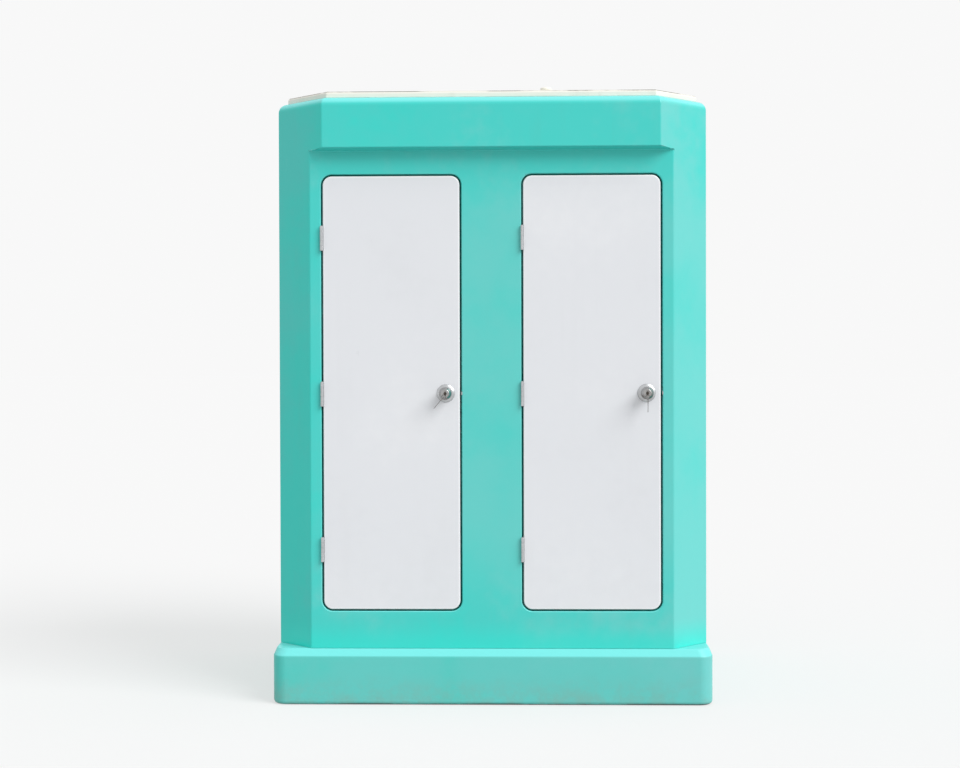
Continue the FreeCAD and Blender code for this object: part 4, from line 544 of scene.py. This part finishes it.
def frame_composite(colours):
    colour = colours.jambs
    # Painted sky light: where the frames face the sky they are a fifth brighter.
    return gelcoat("frame_composite", colour, blended(colour, WHITE, 0.08), shade(colour, 0.8),
                   shade(colour, 1.2), colours.rubbed, gloss=0.5, dust_reach=1.0, dust=0.08, wear=0.3,
                   coat=0.0)


def floor_composite(colours):
    """Non-slip floor: a close field of raised dots, darker between them, with patches of dust."""
    material, tree, shader, vector = new_finish("floor_composite")
    dots = put(tree, "ShaderNodeTexVoronoi", {"Vector": vector, "Scale": 62.0, "Randomness": 0.25})
    raised = ranged(tree, dots.outputs["Distance"], 0.42, 0.26)
    dirt = noise(tree, vector, 4.0, 8.0, 0.65)
    base = layered(tree, shade(colours.deck, 0.62), (raised, shade(colours.deck, 1.08)),
                   (ranged(tree, dirt, 0.45, 0.75, 0.0, 0.5), colours.dust))
    rough = spread(tree, dirt, 0.5, 0.8)
    wire(tree, shader, colour=base, roughness=rough, normal=bump(tree, raised, 0.7, 0.0015))
    return material


def metal(name, colour, gloss, stretch, strength, tint, facing_down_share=0.3, rim=0.0):
    """Metal with its grain or polish, finger smudges, a darker warm tone on what faces down and painted
    shade where it turns away from the view.
    """
    material, tree, shader, vector = new_finish(name, {"Metallic": 1.0})
    grain = placed(tree, brushed_grain(), {"Vector": vector, "Stretch": stretch, "Gloss": gloss})
    smudged = times(tree, grain["Tint"], tint)
    # Darker and warmer where the surface faces down, in the smudge pattern.
    below = ranged(tree, along(tree, surface_normal(tree), "Z"), 0.15, -0.45)
    film = times(tree, times(tree, below, grain["Tint"]), facing_down_share)
    # Painted shade: darker where the surface turns away from the view, an outline drawn by the view angle.
    turned_away = put(tree, "ShaderNodeLayerWeight", {"Blend": 0.4}).outputs["Facing"]
    painted_rim_shade = ranged(tree, turned_away, 0.35, 0.95, 0.0, rim)
    base = layered(tree, colour, (smudged, shade(colour, 0.45)),
                   (film, bpy.context.scene.cabin_colours.grime), (painted_rim_shade, shade(colour, 0.3)))
    normal = bump(tree, grain["Height"], strength, 0.0002)
    wire(tree, shader, colour=base, roughness=grain["Roughness"], normal=normal)
    return material


def plastic(name, colour, gloss, grain_scale, grain, cloud=0.10, dust=0.2, coat=0.0):
    """Moulded plastic: a fine grain, slight clouding, pale edges and dust where it faces up."""
    material, tree, shader, vector = new_finish(name, {"Coat Weight": coat})
    fine = noise(tree, vector, grain_scale, 3.0, 0.6)
    broad = noise(tree, vector, 7.0, 6.0, 0.6)
    clouded = ranged(tree, broad, 0.35, 0.72, 0.0, cloud)
    top = placed(tree, settled_dust(), {"Vector": vector, "Amount": dust})["Mask"]
    worn = placed(tree, edge_wear(), {
        "Vector": vector, "Radius": 0.002, "Unbroken": 0.0, "Amount": 0.35})["Mask"]
    base = layered(tree, colour, (clouded, shade(colour, 0.55)),
                   (top, bpy.context.scene.cabin_colours.dust), (worn, blended(colour, WHITE, 0.35)))
    rough = plus(tree, spread(tree, broad, gloss - 0.05, gloss + 0.09), times(tree, top, DUST_ROUGHENS))
    wire(tree, shader, colour=base, roughness=rough, normal=bump(tree, fine, grain, 0.0003))
    return material


def ceramic(colours):
    """Glazed ware: soft waves under a clear glaze, and a little lime."""
    material, tree, shader, vector = new_finish("ceramic", {"Coat Weight": 0.6, "Coat Roughness": 0.05})
    lime = ranged(tree, noise(tree, vector, 14.0, 8.0, 0.7), 0.56, 0.78, 0.0, 0.35)
    base = mixed(tree, lime, colours.ceramic, blended(colours.ceramic, colours.dust, 0.35))
    waves = noise(tree, vector, 16.0, 2.0)
    rough = spread(tree, waves, 0.08, 0.16)
    wire(tree, shader, colour=base, roughness=rough, normal=bump(tree, waves, 0.12, 0.001))
    return material


def mirror_glass(colours):
    """Silvered glass with dried spots and a soft film."""
    material, tree, shader, vector = new_finish("mirror_glass", {"Metallic": 1.0})
    spots = ranged(tree, noise(tree, vector, 45.0, 6.0, 0.7), 0.62, 0.74, 0.0, 0.5)
    film = ranged(tree, noise(tree, vector, 5.0, 4.0), 0.3, 0.8, 0.0, 0.06)
    colour = shade(colours.chrome, 1.15)
    base = mixed(tree, spots, colour, shade(colour, 0.6))
    wire(tree, shader, colour=base, roughness=plus(tree, times(tree, spots, 0.3), film))
    return material


def paper(colours):
    """Tissue: fine fibres and an uneven surface wound in layers."""
    material, tree, shader, vector = new_finish("paper", {"Sheen Weight": 0.3})
    fibres = noise(tree, stretched(tree, vector, (900.0, 90.0, 900.0)), 1.0, 4.0, 0.7)
    broad = noise(tree, vector, 60.0, 4.0)
    base = mixed(tree, spread(tree, broad, 0.0, 1.0), shade(colours.paper, 0.9), colours.paper)
    rough = spread(tree, broad, 0.85, 0.98)
    wire(tree, shader, colour=base, roughness=rough, normal=bump(tree, fibres, 0.6, 0.0006))
    return material


# For each slot: its colour's name, then what metal() takes
METALS = {
    "stainless_steel": ("steel", 0.30, (60.0, 60.0, 900.0), 0.25, 0.25),
    "polished_steel": ("chrome", 0.24, (70.0, 70.0, 70.0), 0.10, 0.45, 1.4, 0.8),
    "key_metal": ("keys", 0.32, (300.0, 300.0, 300.0), 0.2, 0.6),
}

# For each slot: its colour's name, then what plastic() takes
PLASTICS = {
    "dark_tank": ("dark_tank", 0.55, 160.0, 0.5),
    "pale_tank": ("pale_tank", 0.42, 160.0, 0.4),
    "pipe_plastic": ("pipes", 0.40, 200.0, 0.2),
    "valve_plastic": ("valve", 0.45, 260.0, 0.4, 0.10, 0.4),
    "lever_red": ("lever", 0.32, 90.0, 0.15, 0.2, 0.2, 0.3),
    "seat_plastic": ("seats", 0.22, 60.0, 0.08, 0.04, 0.05, 0.2),
    "louvre_plastic": ("seats", 0.45, 220.0, 0.3, 0.12, 0.6),
    "light_plastic": ("ceramic", 0.28, 80.0, 0.1, 0.05, 0.0, 0.2),
    "seal_rubber": ("rubber", 0.7, 300.0, 0.5, 0.3, 0.0),
}

COMPOSITES = {function.__name__: function for function in (
    turquoise_composite, plinth_composite, door_composite, roof_composite, inner_composite,
    frame_composite, floor_composite, ceramic, mirror_glass, paper)}


def finish(slot):
    """A slot's material, made when it is first asked for."""
    made = bpy.data.materials.get(slot + "_finish")
    if made:
        return made
    colours = bpy.context.scene.cabin_colours
    if slot in COMPOSITES:
        return COMPOSITES[slot](colours)
    build, table = (metal, METALS) if slot in METALS else (plastic, PLASTICS)
    colour, *values = table[slot]
    return build(slot, getattr(colours, colour), *values)


# Piece helpers


def drop_contacts(shape):
    """Takes out the faces along which two solids of one node meet."""
    met = {}
    for face in shape.faces:
        place = tuple(round(value, CONTACT_DIGITS) for value in face.calc_center_median())
        met.setdefault(place, []).append(face)
    touching = [face for pair in met.values() for face in pair
                if len(pair) == 2 and pair[0].normal.dot(pair[1].normal) < OPPOSED]
    bmesh.ops.delete(shape, geom=touching, context="FACES")


def merged(node, convex=False):
    """A CAD node's mesh with its loose triangles joined and its flat faces made whole."""
    shape = bmesh.new()
    shape.from_mesh(frame["nodes"][node].data)
    drop_contacts(shape)
    bmesh.ops.remove_doubles(shape, verts=shape.verts, dist=WELD)
    bmesh.ops.dissolve_limit(shape, angle_limit=FLAT, verts=shape.verts, edges=shape.edges)
    if convex:
        bmesh.ops.connect_verts_concave(shape, faces=shape.faces)
    return shape


def soften(shape, radius, segments=STEPS, chosen=None):
    """Rounds the sharp edges, or those of them that are chosen."""
    edges = [edge for edge in shape.edges if edge.is_manifold
             and abs(edge.calc_face_angle(0.0)) > SHARP and (chosen is None or chosen(edge))]
    if edges and radius > 0:
        bmesh.ops.bevel(shape, geom=edges, offset=radius, offset_type="OFFSET", segments=segments,
                        profile=0.5, affect="EDGES", clamp_overlap=False, loop_slide=True, material=-1)


def piece(shape, name, slot, body, *nodes):
    """The finished mesh as an object that rides on its body and stands for its nodes."""
    mesh = bpy.data.meshes.new(name)
    shape.to_mesh(mesh)
    shape.free()
    mesh.shade_smooth()
    mesh.set_sharp_from_angle(angle=SMOOTH)
    made = bpy.data.objects.new(name, mesh)
    bpy.context.scene.collection.objects.link(made)
    mesh.materials.append(finish(slot))
    even = made.modifiers.new("even_normals", "WEIGHTED_NORMAL")
    even.keep_sharp = True
    even.weight = FACE_WEIGHT
    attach(made, body)
    if nodes:
        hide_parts(*nodes)
    return made


def rounded(node, radius, segments=STEPS, convex=False):
    """A copy of a CAD node with rounded edges and its finish."""
    shape = merged(node, convex)
    soften(shape, radius, segments)
    return piece(shape, node + "_finished", SLOT_OF[node], BODY_OF[node], node)


def dressed(node):
    """The CAD node itself, with its finish in its material slots."""
    mesh = frame["nodes"][node].data
    mesh.materials.clear()
    mesh.materials.append(finish(SLOT_OF[node]))


class CabinOperator:
    """What all of the cabin's operators share."""

    bl_options = {"REGISTER", "UNDO"}

    def execute(self, context):
        self.make(context.scene.cabin_sizes)
        return {"FINISHED"}


# Shell and roof


def line_rooms(shape, front):
    """Gives the faces that look into the cabin the second material, but not the doorways' reveals."""
    middle = Vector((0.0, 0.0, (cad_box[0].z + cad_box[1].z) / 2))
    reveal, backward, inward = 0.02, 0.5, -0.25
    for face in shape.faces:
        centre = face.calc_center_median()
        towards = (centre - middle).normalized()
        behind = centre.y > front + reveal or centre.y > front and face.normal.y > backward
        if behind and face.normal.dot(towards) < inward:
            face.material_index = 1


def round_doorways(shape, sizes, front):
    """Rounds the shell's edge round both doorways and under the header more than its cut edges."""
    doors = [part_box("door_leaf_" + side) for side in SIDES]
    head = max(high.z for low, high in doors)
    near, flush, downward = 0.02, 0.002, -0.9
    undersides = [face for face in shape.faces if face.normal.z < downward
                  and face.calc_center_median().y < front and face.calc_center_median().z > head]
    below_header = {edge for face in undersides for edge in face.edges}

    def round_a_door(edge):
        middle = (edge.verts[0].co + edge.verts[1].co) / 2
        if abs(middle.y - front) > flush:
            return False
        return any(low.x - near < middle.x < high.x + near and low.z - near < middle.z < high.z + near
                   for low, high in doors)

    soften(shape, sizes.header_edge, MANY_STEPS, lambda edge: edge in below_header)
    soften(shape, sizes.opening_edge, MANY_STEPS, round_a_door)


class CABIN_OT_shell(CabinOperator, bpy.types.Operator):
    """The four wall mouldings, with rounded openings and seams and a pale inside"""

    bl_idname = "cabin.shell"
    bl_label = "Shell"

    def make(self, sizes):
        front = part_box("door_leaf_left")[0].y
        for node in ("front_shell", "rear_panel", "left_side_panel", "right_side_panel"):
            shape = merged(node)
            line_rooms(shape, front)
            if node == "front_shell":
                round_doorways(shape, sizes, front)
            soften(shape, sizes.moulding_edge)
            made = piece(shape, node + "_finished", SLOT_OF[node], BODY_OF[node], node)
            made.data.materials.append(finish("inner_composite"))


class CABIN_OT_plinth(CabinOperator, bpy.types.Operator):
    """The base with its ledge, and the bolts that hold the shell to it"""

    bl_idname = "cabin.plinth"
    bl_label = "Plinth"

    def make(self, sizes):
        shape = merged("base_plinth")
        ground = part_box("base_plinth")[0].z + sizes.moulding_edge

        def along_the_foot(edge):
            return max(vert.co.z for vert in edge.verts) < ground

        soften(shape, sizes.foot_edge, MANY_STEPS, along_the_foot)
        soften(shape, sizes.ledge_edge, MANY_STEPS)
        piece(shape, "base_plinth_finished", SLOT_OF["base_plinth"], BODY_OF["base_plinth"], "base_plinth")
        dressed("shell_bolts")


class CABIN_OT_roof(CabinOperator, bpy.types.Operator):
    """The roof cover, the water tank's lid and the vent pipe"""

    bl_idname = "cabin.roof"
    bl_label = "Roof"

    def make(self, sizes):
        rounded("roof_cover", sizes.moulding_edge)
        for node in ("tank_lid", "vent_pipe"):
            rounded(node, sizes.plastic_edge)


class CABIN_OT_tanks(CabinOperator, bpy.types.Operator):
    """The waste tank under the floor and the water tank under the roof"""

    bl_idname = "cabin.tanks"
    bl_label = "Tanks"

    def make(self, sizes):
        rounded("waste_tank", sizes.tank_edge)
        rounded("water_tank", sizes.moulding_edge)


# Doors


class CABIN_OT_doors(CabinOperator, bpy.types.Operator):
    """The two door leaves"""

    bl_idname = "cabin.doors"
    bl_label = "Doors"

    def make(self, sizes):
        for side in SIDES:
            rounded("door_leaf_" + side, sizes.door_edge)


class CABIN_OT_frames(CabinOperator, bpy.types.Operator):
    """The door frames with their seals and strike plates"""

    bl_idname = "cabin.frames"
    bl_label = "Door frames"

    def make(self, sizes):
        rounded("door_frames", sizes.moulding_edge, convex=True)
        rounded("door_seals", sizes.plastic_edge)
        rounded("strike_plates", sizes.metal_edge)


class CABIN_OT_hinges(CabinOperator, bpy.types.Operator):
    """The door hinges' leaves and pins"""

    bl_idname = "cabin.hinges"
    bl_label = "Hinges"

    def make(self, sizes):
        for node in ("frame_hinge_leaves", "door_hinge_leaves_left", "door_hinge_leaves_right"):
            rounded(node, sizes.metal_edge, FEW_STEPS)
        dressed("hinge_pins")


class CABIN_OT_locks(CabinOperator, bpy.types.Operator):
    """The knobs, roses, latch bolts, privacy buttons and keys"""

    bl_idname = "cabin.locks"
    bl_label = "Locks"

    def make(self, sizes):
        for side in SIDES:
            for node in ("lock_body_", "outer_knob_", "inner_knob_", "latch_bolt_", "turn_button_"):
                rounded(node + side, sizes.metal_edge, FEW_STEPS)
            rounded("key_" + side, sizes.key_edge, FEW_STEPS)
            dressed("spare_key_" + side)


# Rooms


class CABIN_OT_rooms(CabinOperator, bpy.types.Operator):
    """The floor, partition, ceiling and ceiling lights"""

    bl_idname = "cabin.rooms"
    bl_label = "Rooms"

    def make(self, sizes):
        for node in ("floor_deck", "partition_wall", "ceiling_panel"):
            rounded(node, sizes.moulding_edge)
        rounded("ceiling_lights", sizes.plastic_edge)


class CABIN_OT_sanitary(CabinOperator, bpy.types.Operator):
    """Toilets, cisterns and basins"""

    bl_idname = "cabin.sanitary"
    bl_label = "Sanitary ware"

    def make(self, sizes):
        for node in ("toilet_bowls", "cisterns", "cistern_lids", "basins"):
            rounded(node, sizes.ceramic_edge, MANY_STEPS)
        for side in SIDES:
            for node in ("toilet_seat_", "toilet_lid_", "flush_button_"):
                rounded(node + side, sizes.plastic_edge)


class CABIN_OT_plumbing(CabinOperator, bpy.types.Operator):
    """Pipes, taps and the drain valve"""

    bl_idname = "cabin.plumbing"
    bl_label = "Plumbing"

    def make(self, sizes):
        for node in ("pipework", "tap_bodies", "tap_lever_left", "tap_lever_right", "drain_valve",
                     "valve_lever"):
            rounded(node, sizes.plastic_edge)


class CABIN_OT_fittings(CabinOperator, bpy.types.Operator):
    """Mirrors, paper holders and rolls, coat hooks and louvres"""

    bl_idname = "cabin.fittings"
    bl_label = "Fittings"

    def make(self, sizes):
        for node in ("mirrors", "paper_holders", "coat_hooks"):
            rounded(node, sizes.plastic_edge)
        rounded("vent_louvres", sizes.plastic_edge, convex=True)
        for side in SIDES:
            rounded("paper_roll_" + side, sizes.plastic_edge)


# Stage: a wide floor that fades into an even backdrop, and one soft key light

FLOOR_REACH = 150.0
FLOOR_BOUNCE = (0.50, 0.50, 0.50)
FLOOR_SEEN = (0.82, 0.82, 0.82)
BACKDROP = 0.94
BACKDROP_ON_FLOOR = 0.6
KEY_FROM = (0.63, -0.46, 0.63)
KEY_WIDTH = math.radians(38)
SENSOR_WIDTH = 36.0
FAR_AWAY = 500.0


def background_seen(tree):
    """High for what the camera sees, also in metal and glass, and low for what only lights the object."""
    rays = put(tree, "ShaderNodeLightPath").outputs
    mirrored = math_node(tree, "MAXIMUM", rays["Is Glossy Ray"], rays["Is Transmission Ray"])
    return math_node(tree, "MAXIMUM", rays["Is Camera Ray"], mirrored)


class CABIN_OT_stage(CabinOperator, bpy.types.Operator):
    """The plain pale floor, the soft studio light and the camera"""

    bl_idname = "cabin.stage"
    bl_label = "Stage"

    def execute(self, context):
        stage = context.scene.cabin_stage
        self.make_floor(context)
        self.make_light(context, stage)
        self.make_camera(context, stage)
        context.scene.view_settings.view_transform = "Standard"
        return {"FINISHED"}

    def make_floor(self, context):
        shape = bmesh.new()
        bmesh.ops.create_grid(shape, x_segments=1, y_segments=1, size=FLOOR_REACH)
        mesh = bpy.data.meshes.new("studio_floor")
        shape.to_mesh(mesh)
        shape.free()
        floor = bpy.data.objects.new("studio_floor", mesh)
        context.scene.collection.objects.link(floor)
        material = bpy.data.materials.new("studio_floor")
        material.use_nodes = True
        tree = material.node_tree
        tree.nodes.clear()
        seen = background_seen(tree)
        colour = mixed(tree, seen, FLOOR_BOUNCE, FLOOR_SEEN)
        matt = put(tree, "ShaderNodeBsdfDiffuse", {"Color": colour})
        pale = put(tree, "ShaderNodeEmission", {"Color": (BACKDROP,) * 3, "Strength": 1.0})
        share = times(tree, seen, BACKDROP_ON_FLOOR)
        both = put(tree, "ShaderNodeMixShader", {0: share, 1: matt.outputs[0], 2: pale.outputs[0]})
        put(tree, "ShaderNodeOutputMaterial", {"Surface": both.outputs[0]})
        mesh.materials.append(material)

    def make_light(self, context, stage):
        world = bpy.data.worlds.new("studio")
        context.scene.world = world
        world.use_nodes = True
        tree = world.node_tree
        tree.nodes.clear()
        seen = background_seen(tree)
        even = put(tree, "ShaderNodeBackground", {"Color": WHITE, "Strength": stage.sky})
        pale = put(tree, "ShaderNodeBackground", {"Color": WHITE, "Strength": BACKDROP})
        both = put(tree, "ShaderNodeMixShader", {0: seen, 1: even.outputs[0], 2: pale.outputs[0]})
        put(tree, "ShaderNodeOutputWorld", {"Surface": both.outputs[0]})
        lamp = bpy.data.lights.new("key_light", "SUN")
        lamp.energy = stage.sun
        lamp.angle = KEY_WIDTH
        key = bpy.data.objects.new("key_light", lamp)
        key.rotation_euler = Vector(KEY_FROM).to_track_quat("Z", "Y").to_euler()
        context.scene.collection.objects.link(key)

    def make_camera(self, context, stage):
        lens = bpy.data.cameras.new("photo_camera")
        lens.lens = stage.lens
        lens.sensor_width = SENSOR_WIDTH
        lens.clip_end = FAR_AWAY
        camera = bpy.data.objects.new("photo_camera", lens)
        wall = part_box("door_leaf_left")[0].y
        camera.location = (stage.camera_x, wall - stage.camera_distance, stage.camera_height)
        turned = (Matrix.Rotation(stage.turn, 3, "Z") @ Matrix.Rotation(math.pi / 2 + stage.tilt, 3, "X")
                  @ Matrix.Rotation(stage.roll, 3, "Z"))
        camera.rotation_euler = turned.to_euler()
        context.scene.collection.objects.link(camera)
        context.scene.camera = camera


PIECES = (CABIN_OT_shell, CABIN_OT_plinth, CABIN_OT_roof, CABIN_OT_tanks, CABIN_OT_doors, CABIN_OT_frames,
          CABIN_OT_hinges, CABIN_OT_locks, CABIN_OT_rooms, CABIN_OT_sanitary, CABIN_OT_plumbing,
          CABIN_OT_fittings, CABIN_OT_stage)


class CABIN_PT_panel(bpy.types.Panel):
    """Lists the cabin's operators in the order in which they run"""

    bl_label = "Toilet cabin"
    bl_idname = "CABIN_PT_panel"
    bl_space_type = "VIEW_3D"
    bl_region_type = "UI"
    bl_category = "Cabin"

    def draw(self, context):
        for operator in PIECES:
            self.layout.operator(operator.bl_idname)


SETTINGS = {"cabin_colours": CabinColours, "cabin_sizes": CabinSizes, "cabin_stage": CabinStage}
CLASSES = (*SETTINGS.values(), *PIECES, CABIN_PT_panel)


def register():
    for cls in CLASSES:
        bpy.utils.register_class(cls)
    for name, group in SETTINGS.items():
        setattr(bpy.types.Scene, name, PointerProperty(type=group))


def unregister():
    for name in SETTINGS:
        delattr(bpy.types.Scene, name)
    for cls in reversed(CLASSES):
        bpy.utils.unregister_class(cls)


def main():
    register()
    for operator in PIECES:
        group, name = operator.bl_idname.split(".")
        getattr(getattr(bpy.ops, group), name)()


if __name__ == "__main__":
    main()
